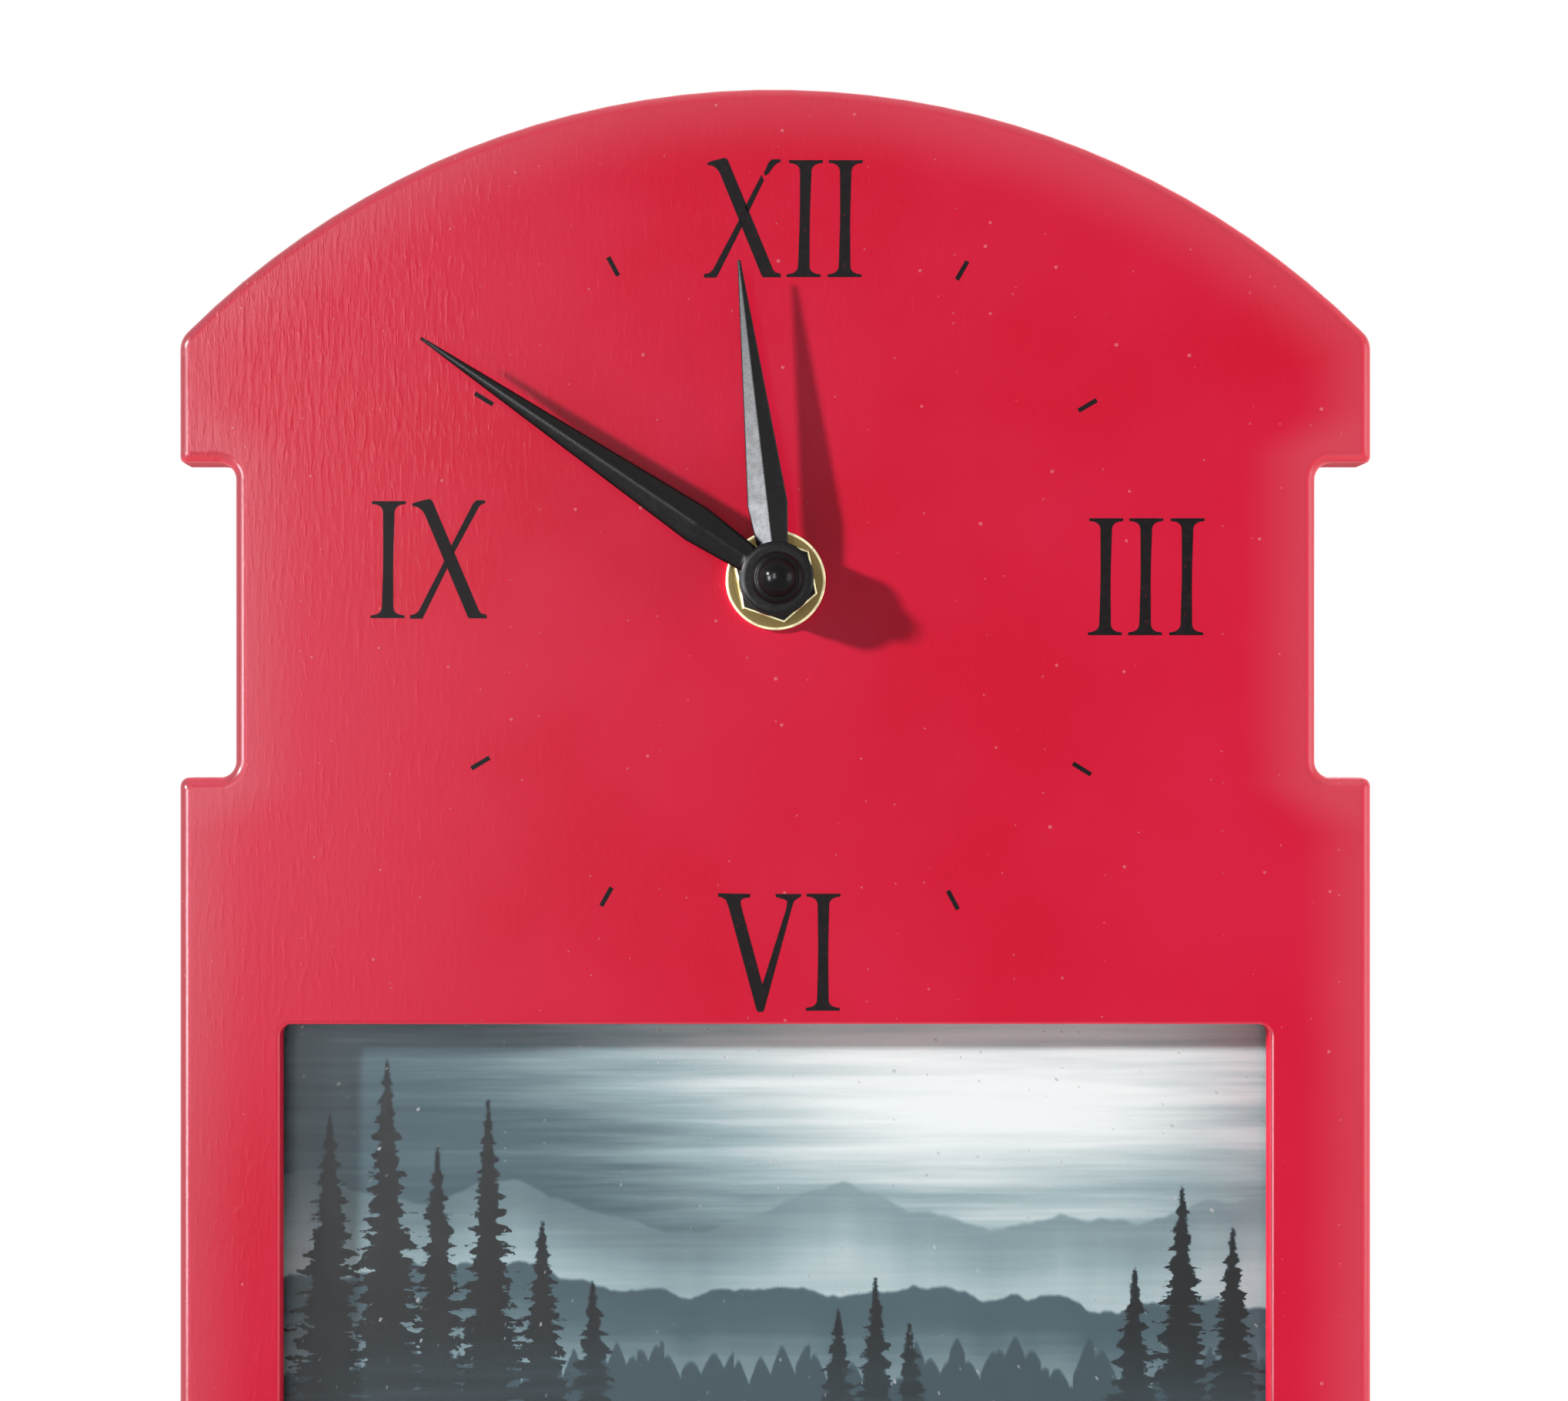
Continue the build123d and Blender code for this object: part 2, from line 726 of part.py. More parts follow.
def make_hour_wheel():
    """Hour wheel with the tube that carries the hour hand."""
    with BuildPart() as wheel:
        with BuildSketch(shaft_front.offset(hour_wheel_front)):
            draw_gear(
                hour_wheel_teeth, hour_module, wheel_addendum_share, 90 + 180 / hour_wheel_teeth
            )
            with PolarLocations((drive_wheel_radius + tube_radius) / 2, wheel_hole_count):
                Circle(wheel_hole_radius, mode=Mode.SUBTRACT)
        extrude(amount=-hour_wheel_thickness)
        with BuildSketch(shaft_front.offset(hour_wheel_front)):
            Circle(tube_radius)
        extrude(amount=hour_tube_rise - hour_wheel_front)
        with BuildSketch(shaft_front.offset(hour_wheel_back)):
            Circle(minute_arbor_radius + running_play)
        extrude(amount=hour_tube_rise - hour_wheel_back, mode=Mode.SUBTRACT)
    write_piece(wheel, "hour_wheel")


def make_motion_wheel():
    """Motion wheel and its pinion on the setting arbor, above the shaft."""
    motion_axis = Plane(
        origin=shaft_front.from_local_coords((0, train_centre, 0)), x_dir=(1, 0, 0), z_dir=out_direction
    )
    with BuildPart() as wheel:
        with BuildSketch(motion_axis.offset(motion_wheel_front)):
            draw_gear(
                motion_wheel_teeth, minute_module, wheel_addendum_share, 270 + 180 / motion_wheel_teeth
            )
            with PolarLocations((drive_wheel_radius + motion_arbor_radius) / 2, wheel_hole_count):
                Circle(wheel_hole_radius, mode=Mode.SUBTRACT)
        extrude(amount=-motion_wheel_thickness)
        with BuildSketch(motion_axis.offset(motion_wheel_front)):
            draw_gear(motion_pinion_teeth, hour_module, pinion_addendum_share, 270)
        extrude(amount=motion_pinion_thickness)
        with BuildSketch(motion_axis.offset(case_inside + pivot_depth)):
            Circle(motion_arbor_radius)
        extrude(amount=case_back - knob_gap - knob_thickness / 2 - case_inside - pivot_depth)
    write_piece(wheel, "motion_wheel")


def make_setting_knob():
    """Fluted knob on the rear end of the setting arbor."""
    knob_face = Plane(
        origin=shaft_front.from_local_coords((0, train_centre, case_back - knob_gap)),
        x_dir=(1, 0, 0),
        z_dir=out_direction,
    )
    with BuildPart() as knob:
        with BuildSketch(knob_face):
            Circle(knob_radius)
        extrude(amount=-knob_thickness)
        rear = knob.faces().sort_by(Axis((0, 0, 0), out_direction))[0]
        chamfer(rear.edges(), knob_edge)
        with BuildSketch(knob_face):
            with PolarLocations(knob_radius, knob_flute_count):
                Circle(knob_flute_radius)
        extrude(amount=-knob_thickness, mode=Mode.SUBTRACT)
        with BuildSketch(knob_face):
            Circle(motion_arbor_radius + hand_bore_play)
        extrude(amount=-knob_thickness / 2, mode=Mode.SUBTRACT)
    write_piece(knob, "setting_knob")


def make_motor_block():
    """Sealed block that holds the rotor and the fast wheels of the train."""
    with BuildPart() as block:
        with BuildSketch(shaft_front.offset(case_inside)):
            with Locations((block_right, (bay_top + block_gap))):
                RectangleRounded(
                    motor_block_width,
                    motor_block_height,
                    motor_block_radius,
                    align=(Align.MAX, Align.MIN),
                )
        extrude(amount=plate_front - case_inside)
        front = block.faces().sort_by(Axis((0, 0, 0), out_direction))[-1]
        chamfer(front.edges(), motor_block_radius / 4)
    write_piece(block, "motor_block")


def make_stator_core():
    """Laminated stator plate with its rotor hole, and the bar that runs through the coil."""
    half_run = coil_length / 2 + stator_width / 2
    with BuildPart() as core:
        with BuildSketch(shaft_front.offset(plate_back)):
            with Locations(
                (coil_place_across, coil_place_up + half_run), (coil_place_across, coil_place_up - half_run)
            ):
                Rectangle(stator_width, stator_width)
            with Locations((rotor_place_across, coil_place_up)):
                Rectangle(stator_width, 2 * half_run + stator_width)
                Circle(rotor_hole_radius, mode=Mode.SUBTRACT)
            with Locations(
                ((rotor_place_across + coil_place_across) / 2, coil_place_up + half_run),
                ((rotor_place_across + coil_place_across) / 2, coil_place_up - half_run),
            ):
                Rectangle(coil_place_across - rotor_place_across, stator_width)
        extrude(amount=-stator_thickness)
        with BuildSketch(shaft_front.offset(plate_back - stator_thickness)):
            with Locations(
                (coil_place_across, coil_place_up + half_run), (coil_place_across, coil_place_up - half_run)
            ):
                Rectangle(stator_width, stator_width)
        extrude(amount=-(coil_flange_radius - stator_thickness + core_height / 2))
        with BuildSketch(shaft_front.offset(plate_back - coil_flange_radius + core_height / 2)):
            with Locations((coil_place_across, coil_place_up)):
                Rectangle(core_width, 2 * half_run)
        extrude(amount=-core_height)
    write_piece(core, "stator_core")


def make_motor_coil():
    """Copper winding between two bobbin cheeks on the stator's bar."""
    coil_axis = Plane(
        origin=shaft_front.from_local_coords(
            (coil_place_across, coil_place_up - coil_length / 2 + seat_play, plate_back - coil_flange_radius)
        ),
        x_dir=(1, 0, 0),
        z_dir=up_direction,
    )
    winding_length = coil_length - 2 * seat_play
    with BuildPart() as coil:
        with BuildSketch(coil_axis):
            Circle(coil_radius)
        extrude(amount=winding_length)
        with BuildSketch(coil_axis, coil_axis.offset(winding_length - coil_flange_thickness)):
            Circle(coil_flange_radius)
        extrude(amount=coil_flange_thickness)
        with BuildSketch(coil_axis):
            Rectangle(core_width + 2 * seat_play, core_height + 2 * seat_play)
        extrude(amount=winding_length, mode=Mode.SUBTRACT)
    write_piece(coil, "motor_coil")


def circuit_place():
    """Middle of the circuit board, left of the setting arbor."""
    return (-circuit_gap - circuit_width / 2, coil_place_up)


def make_circuit_board():
    """Circuit board with its sealed chip."""
    across, up = circuit_place()
    with BuildPart() as circuit:
        with BuildSketch(shaft_front.offset(plate_back)):
            with Locations((across, up)):
                Rectangle(circuit_width, circuit_height)
        extrude(amount=-circuit_thickness)
        with BuildSketch(shaft_front.offset(plate_back - circuit_thickness)):
            with Locations((across + circuit_width / 4, up)):
                Circle(chip_radius)
        extrude(amount=-chip_height, taper=30)
    write_piece(circuit, "circuit_board")


def make_quartz_can():
    """Round crystal can that lies on the circuit board."""
    across, up = circuit_place()
    can_axis = Plane(
        origin=shaft_front.from_local_coords(
            (
                across - circuit_width / 4,
                up - quartz_length / 2,
                plate_back - circuit_thickness - quartz_radius - seat_play,
            )
        ),
        x_dir=(1, 0, 0),
        z_dir=up_direction,
    )
    with BuildPart() as can:
        with BuildSketch(can_axis):
            Circle(quartz_radius)
        extrude(amount=quartz_length)
        fillet(can.edges().filter_by(GeomType.CIRCLE), quartz_radius / 4)
    write_piece(can, "quartz_can")


def battery_plane(along):
    """Plane square to the battery's axis, at a distance along it from the middle."""
    return Plane(
        origin=shaft_front.from_local_coords((along, battery_up, battery_out)),
        x_dir=up_direction,
        z_dir=(1, 0, 0),
    )


def make_battery():
    """Round dry cell that lies across the bottom of the case."""
    with BuildPart() as cell:
        with BuildSketch(battery_plane(-battery_length / 2)):
            Circle(battery_radius)
        extrude(amount=battery_length - battery_nub_length)
        fillet(cell.edges().filter_by(GeomType.CIRCLE), battery_edge_radius)
        with BuildSketch(battery_plane(battery_length / 2 - battery_nub_length)):
            Circle(battery_nub_radius)
        extrude(amount=battery_nub_length)
    write_piece(cell, "battery")


def make_battery_contact(name, side):
    """Contact plate on one end wall of the bay, with a bow that presses on the cell."""
    wall = battery_plane(side * inside_half)
    bow_height = contact_space - contact_thickness - contact_touch
    with BuildPart() as contact:
        with BuildSketch(wall):
            Rectangle(contact_width, contact_width)
        extrude(amount=-side * contact_thickness)
        with BuildSketch(wall.offset(-side * contact_thickness)):
            Circle(contact_bow_radius)
        extrude(amount=-side * bow_height, taper=30)
    write_piece(contact, name)


def blade_sections(hand_angle, blade_level, stations):
    """Cross sections of a faceted blade, at the given places out from the shaft."""
    turn = radians(hand_angle)
    along = board_front.x_dir * sin(turn) + up_direction * cos(turn)
    aside = up_direction * sin(turn) - board_front.x_dir * cos(turn)
    sections = []
    for place, half in stations:
        middle = shaft_front.origin + out_direction * blade_level + along * place
        ridge = hand_edge_thickness + hand_ridge_share * half
        with BuildSketch(Plane(origin=middle, x_dir=aside, z_dir=along)) as section:
            with BuildLine():
                Polyline(
                    (-half, 0),
                    (half, 0),
                    (half, hand_edge_thickness),
                    (0, ridge),
                    (-half, hand_edge_thickness),
                    close=True,
                )
            make_face()
        sections.append(section.sketch)
    return sections


def make_hour_hand():
    """Short faceted hand with its round disc and collar, on the hour tube."""
    with BuildPart() as hand:
        stations = (
            (hour_collar_radius, hour_hand_root_half),
            (hour_hand_belly_place, hour_hand_belly_half),
            (hour_hand_reach, hand_tip_half),
        )
        loft(blade_sections(hour_hand_angle, hour_disc_level + hand_blade_lift, stations), ruled=True)
        with BuildSketch(shaft_front.offset(hour_disc_level)):
            Circle(hour_disc_radius)
        extrude(amount=hour_disc_thickness)
        with BuildSketch(shaft_front.offset(hour_disc_level)):
            Circle(hour_collar_radius)
        extrude(amount=-hour_collar_height)
        with BuildSketch(shaft_front.offset(hour_disc_level - hour_collar_height)):
            Circle(tube_radius + hand_bore_play)
        extrude(amount=overrun, mode=Mode.SUBTRACT)
    write_piece(hand, "hour_hand")


def make_minute_hand():
    """Long faceted hand with its raised round disc and collar, on the minute arbor."""
    with BuildPart() as hand:
        stations = (
            (minute_collar_radius, minute_hand_root_half),
            (minute_hand_belly_place, minute_hand_belly_half),
            (minute_hand_reach, hand_tip_half),
        )
        loft(blade_sections(minute_hand_angle, minute_disc_level + hand_blade_lift, stations), ruled=True)
        with BuildSketch(shaft_front.offset(minute_disc_level)):
            Circle(minute_disc_radius)
        extrude(amount=minute_disc_thickness)
        with BuildSketch(shaft_front.offset(minute_disc_level)):
            Circle(minute_collar_radius)
        extrude(amount=-minute_collar_height)
        with BuildSketch(shaft_front.offset(minute_disc_level - minute_collar_height)):
            Circle(minute_arbor_radius + hand_bore_play)
        extrude(amount=overrun, mode=Mode.SUBTRACT)
    write_piece(hand, "minute_hand")


def make_cap_nut():
    """Closed cap nut on the arbor's tip: a flat rim, a stepped lip and a low dome."""
    profile_plane = Plane(
        origin=shaft_front.from_local_coords((0, 0, minute_hand_top)),
        x_dir=(1, 0, 0),
        z_dir=-up_direction,
    )
    shaft_axis = Axis(profile_plane.origin, out_direction)
    with BuildPart() as cap:
        with BuildSketch(profile_plane):
            with BuildLine():
                bottom = Line((0, 0), (cap_rim_radius, 0))
                rim = Line(bottom @ 1, (cap_rim_radius, cap_rim_height))
                step = Line(rim @ 1, (cap_lip_radius, cap_lip_height))
                shelf = Line(step @ 1, (cap_dome_radius, cap_lip_height))
                TangentArc((0, cap_height), shelf @ 1, tangent=(1, 0))
                Line((0, cap_height), (0, 0))
            make_face()
        revolve(axis=shaft_axis)
        with BuildSketch(shaft_front.offset(minute_hand_top)):
            Circle(arbor_tip_radius + thread_play)
        extrude(amount=arbor_tip_length + cap_bore_spare, mode=Mode.SUBTRACT)
    write_piece(cap, "cap_nut")


def pin_plane(along):
    """Plane square to the hinge pin, with its first axis down the board."""
    return Plane(
        origin=board_front.from_local_coords((along, hinge_height, pin_out)),
        x_dir=-up_direction,
        z_dir=(1, 0, 0),
    )


def rod_on_pin(start, length, radius, mode):
    """Add or cut a round rod along the hinge pin's line in the open part."""
    with BuildSketch(pin_plane(start)) as section:
        Circle(radius)
    extrude(section.sketch, amount=length, mode=mode)


def shape_knuckles(own, other):
    """Give the open leaf its own knuckles, room for the other leaf's, and the pin's bore."""
    pitch = leaf_width / knuckle_count
    for index in own:
        start = index * pitch - leaf_width / 2
        rod_on_pin(start + knuckle_gap / 2, pitch - knuckle_gap, barrel_radius, Mode.ADD)
    for index in other:
        start = index * pitch - leaf_width / 2
        rod_on_pin(start - knuckle_gap / 2, pitch + knuckle_gap, barrel_radius + barrel_gap, Mode.SUBTRACT)
    rod_on_pin(-leaf_width / 2, leaf_width, hinge_pin_radius + hinge_pin_play, Mode.SUBTRACT)


fixed_knuckles = range(0, knuckle_count, 2)
moving_knuckles = range(1, knuckle_count, 2)
strut_plane = Plane(
    origin=board_front.from_local_coords((0, hinge_height, pin_out)), x_dir=(1, 0, 0), z_dir=away_direction
)


def make_board_leaf():
    """Hinge leaf screwed to the board's back."""
    with BuildPart() as leaf:
        with BuildSketch(board_back) as plate:
            with Locations((0, hinge_height)):
                Rectangle(leaf_width, leaf_length, align=(Align.CENTER, Align.MAX))
            fillet(plate.vertices().group_by(Axis.Y)[0], leaf_corner_radius)
            with Locations(*leaf_screw_places()):
                Circle(leaf_screw_radius + leaf_screw_play, mode=Mode.SUBTRACT)
        extrude(amount=-leaf_thickness)
        shape_knuckles(fixed_knuckles, moving_knuckles)
        with BuildSketch(board_back.offset(-leaf_thickness)):
            with Locations(*leaf_screw_places()):
                Circle(leaf_screw_head_radius)
        extrude(amount=leaf_thickness, taper=45, mode=Mode.SUBTRACT)
    write_piece(leaf, "hinge_leaf_board")


def make_board_leaf_screws():
    """Countersunk screws that hold the fixed leaf."""
    with BuildPart() as screws:
        with BuildSketch(board_back.offset(leaf_screw_length)):
            with Locations(*leaf_screw_places()):
                Circle(leaf_screw_radius)
        extrude(amount=-leaf_screw_length - leaf_thickness)
        with BuildSketch(board_back.offset(-leaf_thickness)):
            with Locations(*leaf_screw_places()):
                Circle(leaf_screw_head_radius - leaf_screw_play)
        extrude(amount=leaf_thickness - leaf_screw_play, taper=45)
        with BuildSketch(board_back.offset(-leaf_thickness)):
            with Locations(*leaf_screw_places()):
                Rectangle(2 * leaf_screw_head_radius, leaf_slot_width, rotation=strut_angle)
        extrude(amount=leaf_slot_depth, mode=Mode.SUBTRACT)
    write_piece(screws, "hinge_screws_board")


def strut_screw_places():
    """Screw points of the moving leaf, in the strut's own plane, whose second axis runs down."""
    return [(side * leaf_screw_spacing / 2, leaf_screw_place) for side in (-1, 1)]


def make_strut_leaf():
    """Hinge leaf screwed to the strut's inner face."""
    inner = strut_plane.offset(strut_inner)
    with BuildPart() as leaf:
        with BuildSketch(inner) as plate:
            Rectangle(leaf_width, leaf_length, align=(Align.CENTER, Align.MIN))
            fillet(plate.vertices().group_by(Axis.Y)[-1], leaf_corner_radius)
            with Locations(*strut_screw_places()):
                Circle(leaf_screw_radius + leaf_screw_play, mode=Mode.SUBTRACT)
        extrude(amount=-leaf_thickness)
        shape_knuckles(moving_knuckles, fixed_knuckles)
        with BuildSketch(inner.offset(-leaf_thickness)):
            with Locations(*strut_screw_places()):
                Circle(leaf_screw_head_radius)
        extrude(amount=leaf_thickness, taper=45, mode=Mode.SUBTRACT)
    write_piece(leaf, "hinge_leaf_strut")


def make_strut_leaf_screws():
    """Countersunk screws that hold the moving leaf to the strut."""
    inner = strut_plane.offset(strut_inner)
    with BuildPart() as screws:
        with BuildSketch(inner.offset(leaf_screw_length)):
            with Locations(*strut_screw_places()):
                Circle(leaf_screw_radius)
        extrude(amount=-leaf_screw_length - leaf_thickness)
        with BuildSketch(inner.offset(-leaf_thickness)):
            with Locations(*strut_screw_places()):
                Circle(leaf_screw_head_radius - leaf_screw_play)
        extrude(amount=leaf_thickness - leaf_screw_play, taper=45)
        with BuildSketch(inner.offset(-leaf_thickness)):
            with Locations(*strut_screw_places()):
                Rectangle(2 * leaf_screw_head_radius, leaf_slot_width, rotation=-lean_angle)
        extrude(amount=leaf_slot_depth, mode=Mode.SUBTRACT)
    write_piece(screws, "hinge_screws_strut")


def make_hinge_pin():
    """Pin through all the knuckles, with a head at each end."""
    with BuildPart() as pin:
        with BuildSketch(pin_plane(-leaf_width / 2)):
            Circle(hinge_pin_radius)
        extrude(amount=leaf_width)
        with BuildSketch(pin_plane(-leaf_width / 2), pin_plane(leaf_width / 2 + hinge_pin_head)):
            Circle(barrel_radius - barrel_gap)
        extrude(amount=-hinge_pin_head)
    write_piece(pin, "hinge_pin")


def make_easel_strut():
    """Tapered strut: its foot is cut level with the table and its top lies on the board's back as a stop."""
    reach = foot_reach + overrun
    foot_half = strut_foot_width / 2
    top_half = strut_top_width / 2
    with BuildPart() as strut:
        with BuildSketch(strut_plane.offset(strut_inner)) as face:
            with BuildLine():
                Polyline(
                    (-top_half, -strut_top_reach),
                    (top_half, -strut_top_reach),
                    (foot_half, reach),
                    (-foot_half, reach),
                    close=True,
                )
            make_face()
            fillet(face.vertices().group_by(Axis.Y)[0], strut_corner_radius)
        extrude(amount=strut_thickness)
        outer = strut.faces().sort_by(Axis((0, 0, 0), away_direction))[-1]
        fillet(outer.edges().filter_by(lambda edge: edge.center().Z > 0), strut_edge_radius)
        split(bisect_by=Plane.XY, keep=Keep.TOP)
        split(bisect_by=board_back.offset(-strut_stop_gap), keep=Keep.BOTTOM)
        with BuildSketch(strut_plane.offset(strut_inner)):
            with Locations(*strut_screw_places()):
                Circle(leaf_screw_radius + pilot_play)
        extrude(amount=leaf_screw_length, mode=Mode.SUBTRACT)
    write_piece(strut, "easel_strut")


def make_all():
    """Make every piece of the clock, from the front to the back."""
    make_front_board()
    make_window_glass()
    make_photo_print()
    make_backing_board()
    for number, place in enumerate(button_places(), start=1):
        turn = 1 if place[1] > window_middle else -1
        make_turn_button(number, place, turn)
    make_button_screws()
    make_gasket()
    make_movement_case()
    make_back_cover()
    make_train_plate()
    make_shaft_nut()
    make_minute_arbor()
    make_hour_wheel()
    make_motion_wheel()
    make_setting_knob()
    make_motor_block()
    make_stator_core()
    make_motor_coil()
    make_circuit_board()
    make_quartz_can()
    make_battery()
    make_battery_contact("battery_contact_plus", 1)
    make_battery_contact("battery_contact_minus", -1)
    make_hour_hand()
    make_minute_hand()
    make_cap_nut()
    make_board_leaf()
    make_board_leaf_screws()
    make_strut_leaf()
    make_strut_leaf_screws()
    make_hinge_pin()
    make_easel_strut()


make_all()
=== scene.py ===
"""Dress the photo frame clock: paint, printed dial, enamelled hands, brass nut, picture and back.

Lengths in the dataclasses are in millimetres on the board, as "across", "up" and "out" of its front
face, and every mesh is made in metres in the frame of the CAD model.
"""

import json
import logging
import math
from collections.abc import Iterable, Sequence
from dataclasses import dataclass
from enum import Enum
from functools import cached_property, reduce
from typing import Protocol, Union

import bmesh
import bpy
from mathutils import Euler, Matrix, Vector


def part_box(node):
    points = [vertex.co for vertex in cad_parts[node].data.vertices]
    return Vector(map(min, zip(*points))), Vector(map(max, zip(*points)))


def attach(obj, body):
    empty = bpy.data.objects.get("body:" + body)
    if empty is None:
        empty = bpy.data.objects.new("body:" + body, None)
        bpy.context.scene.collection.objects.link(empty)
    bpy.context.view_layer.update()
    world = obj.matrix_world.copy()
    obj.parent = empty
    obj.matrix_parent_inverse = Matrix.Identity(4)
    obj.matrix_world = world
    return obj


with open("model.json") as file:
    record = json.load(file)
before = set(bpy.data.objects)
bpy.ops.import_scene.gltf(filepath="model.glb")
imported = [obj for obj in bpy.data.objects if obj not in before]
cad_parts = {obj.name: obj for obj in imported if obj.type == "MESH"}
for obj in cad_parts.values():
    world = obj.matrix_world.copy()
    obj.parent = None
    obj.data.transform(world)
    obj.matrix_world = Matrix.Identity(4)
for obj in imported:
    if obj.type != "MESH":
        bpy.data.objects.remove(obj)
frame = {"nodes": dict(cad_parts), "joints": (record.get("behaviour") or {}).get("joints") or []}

LOG = logging.getLogger("clock")
MM = 0.001
SHAFT_JOINT = "minute_hand_turn"
# Rays that shade one point of a softened edge.
BEVEL_SAMPLES = 14
# How deep a raised mark is sunk into its face, as a share of its height.
SUNK_SHARE = 0.3

Colour = tuple[float, float, float]
Way = tuple[float, float, float]
Spot = tuple[float, float]
Span = tuple[float, float]
Outline = list[Spot]

WHITE: Colour = (1.0, 1.0, 1.0)
# Across, up and out of the way from the dial to the hard lamp.
KEY_WAY: Way = (-0.81, 0.30, 0.475)


def tone(red: int, green: int, blue: int) -> Colour:
    """Turn a colour as a screen shows it into a linear one.

    Args:
        red: Red from 0 to 255.
        green: Green from 0 to 255.
        blue: Blue from 0 to 255.

    Returns:
        The three linear values from 0 to 1.
    """
    linear = []
    for value in (red, green, blue):
        share = value / 255
        linear.append(share / 12.92 if share <= 0.04045 else ((share + 0.055) / 1.055) ** 2.4)
    return (linear[0], linear[1], linear[2])


@dataclass(frozen=True)
class BoardSpace:
    """The leaning board's own directions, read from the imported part."""

    origin: Vector
    out: Vector
    up: Vector

    @classmethod
    def from_frame(cls) -> "BoardSpace":
        """Read the lean from the shaft's axis and the foot of the face from the board's box."""
        shaft = next(j for j in frame["joints"] if j["name"] == SHAFT_JOINT)
        out = -Vector(shaft["axis"]).normalized()
        low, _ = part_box("front_board")
        return cls(Vector((0, low.y, 0)), out, Vector((0, out.z, -out.y)))

    def direction(self, across: float, up: float, out: float = 0) -> Vector:
        """Return the way in the frame of one given in across, up and out."""
        return Vector((across, 0, 0)) + self.up * up + self.out * out

    def axes(self) -> tuple[Vector, Vector, Vector]:
        """Return the unit ways across, up and out."""
        return self.direction(1, 0), self.up, self.out

    def point(self, across: float, up: float, out: float = 0) -> Vector:
        """Return the place in the frame, in metres, of a place on the board in millimetres.

        Args:
            across: To the viewer's right of the middle line.
            up: Up the front face from the table.
            out: Out of the front face towards the viewer.

        Returns:
            The point in the frame.
        """
        return self.origin + self.direction(across, up, out) * MM

    def locate(self, place: Vector) -> Way:
        """Return the across, up and out of a point in the frame, in millimetres."""
        offset = (place - self.origin) / MM
        return offset.x, offset.dot(self.up), offset.dot(self.out)


SPACE = BoardSpace.from_frame()


def joint_spot(name: str) -> Spot:
    """Return the across and up of the place where a joint's axis stands on the board."""
    joint = next(j for j in frame["joints"] if j["name"] == name)
    return SPACE.locate(Vector(joint["pos_m"]))[:2]


def polar(centre: Spot, radius: float, angle: float) -> Spot:
    """Return the spot at a distance from a centre, at an angle in degrees."""
    turn = math.radians(angle)
    return centre[0] + radius * math.cos(turn), centre[1] + radius * math.sin(turn)


class Shade:
    """One socket in a material's tree that Python's operators work on."""

    def __init__(self, recipe: "Recipe", socket: bpy.types.NodeSocket) -> None:
        """Keep the socket and the recipe that it belongs to."""
        self.recipe = recipe
        self.socket = socket

    def maths(self, operation: str, *others: "Operand") -> "Shade":
        """Join this value to others through one Math node."""
        sockets = dict(enumerate((self, *others)))
        return self.recipe.node("ShaderNodeMath", {"operation": operation}, sockets)

    def __add__(self, other: "Operand") -> "Shade":
        """Add."""
        return self.maths("ADD", other)

    __radd__ = __add__

    def __mul__(self, other: "Operand") -> "Shade":
        """Multiply."""
        return self.maths("MULTIPLY", other)

    __rmul__ = __mul__

    def __sub__(self, other: "Operand") -> "Shade":
        """Take the other away from this."""
        return self.maths("SUBTRACT", other)

    def __rsub__(self, other: "Operand") -> "Shade":
        """Take this away from the other."""
        return self.recipe.node("ShaderNodeMath", {"operation": "SUBTRACT"}, {0: other, 1: self})

    def __truediv__(self, other: "Operand") -> "Shade":
        """Divide."""
        return self.maths("DIVIDE", other)

    def __pow__(self, other: "Operand") -> "Shade":
        """Raise to a power."""
        return self.maths("POWER", other)

    def __abs__(self) -> "Shade":
        """Drop the sign."""
        return self.maths("ABSOLUTE")

    def least(self, other: "Operand") -> "Shade":
        """Return the smaller of the two."""
        return self.maths("MINIMUM", other)

    def most(self, other: "Operand") -> "Shade":
        """Return the larger of the two."""
        return self.maths("MAXIMUM", other)

    def hypot(self, other: "Operand") -> "Shade":
        """Return the length of the two taken at right angles."""
        return (self * self + other * other) ** 0.5

    def ramp(self, low: "Operand", high: "Operand", first: float = 0, last: float = 1) -> "Shade":
        """Run smoothly from first to last as this runs from low to high.

        Args:
            low: Where the run starts; it may be above high.
            high: Where it ends.
            first: The result up to low.
            last: The result from high on.

        Returns:
            The smoothed value.
        """
        return self.recipe.node(
            "ShaderNodeMapRange",
            {"interpolation_type": "SMOOTHSTEP"},
            {"Value": self, "From Min": low, "From Max": high, "To Min": first, "To Max": last},
        )

    def sibling(self, name: str) -> "Shade":
        """Return another output of the node that this socket is on."""
        return Shade(self.recipe, self.socket.node.outputs[name])


Operand = Union[Shade, float, int]
Tint = Union[Shade, Colour]


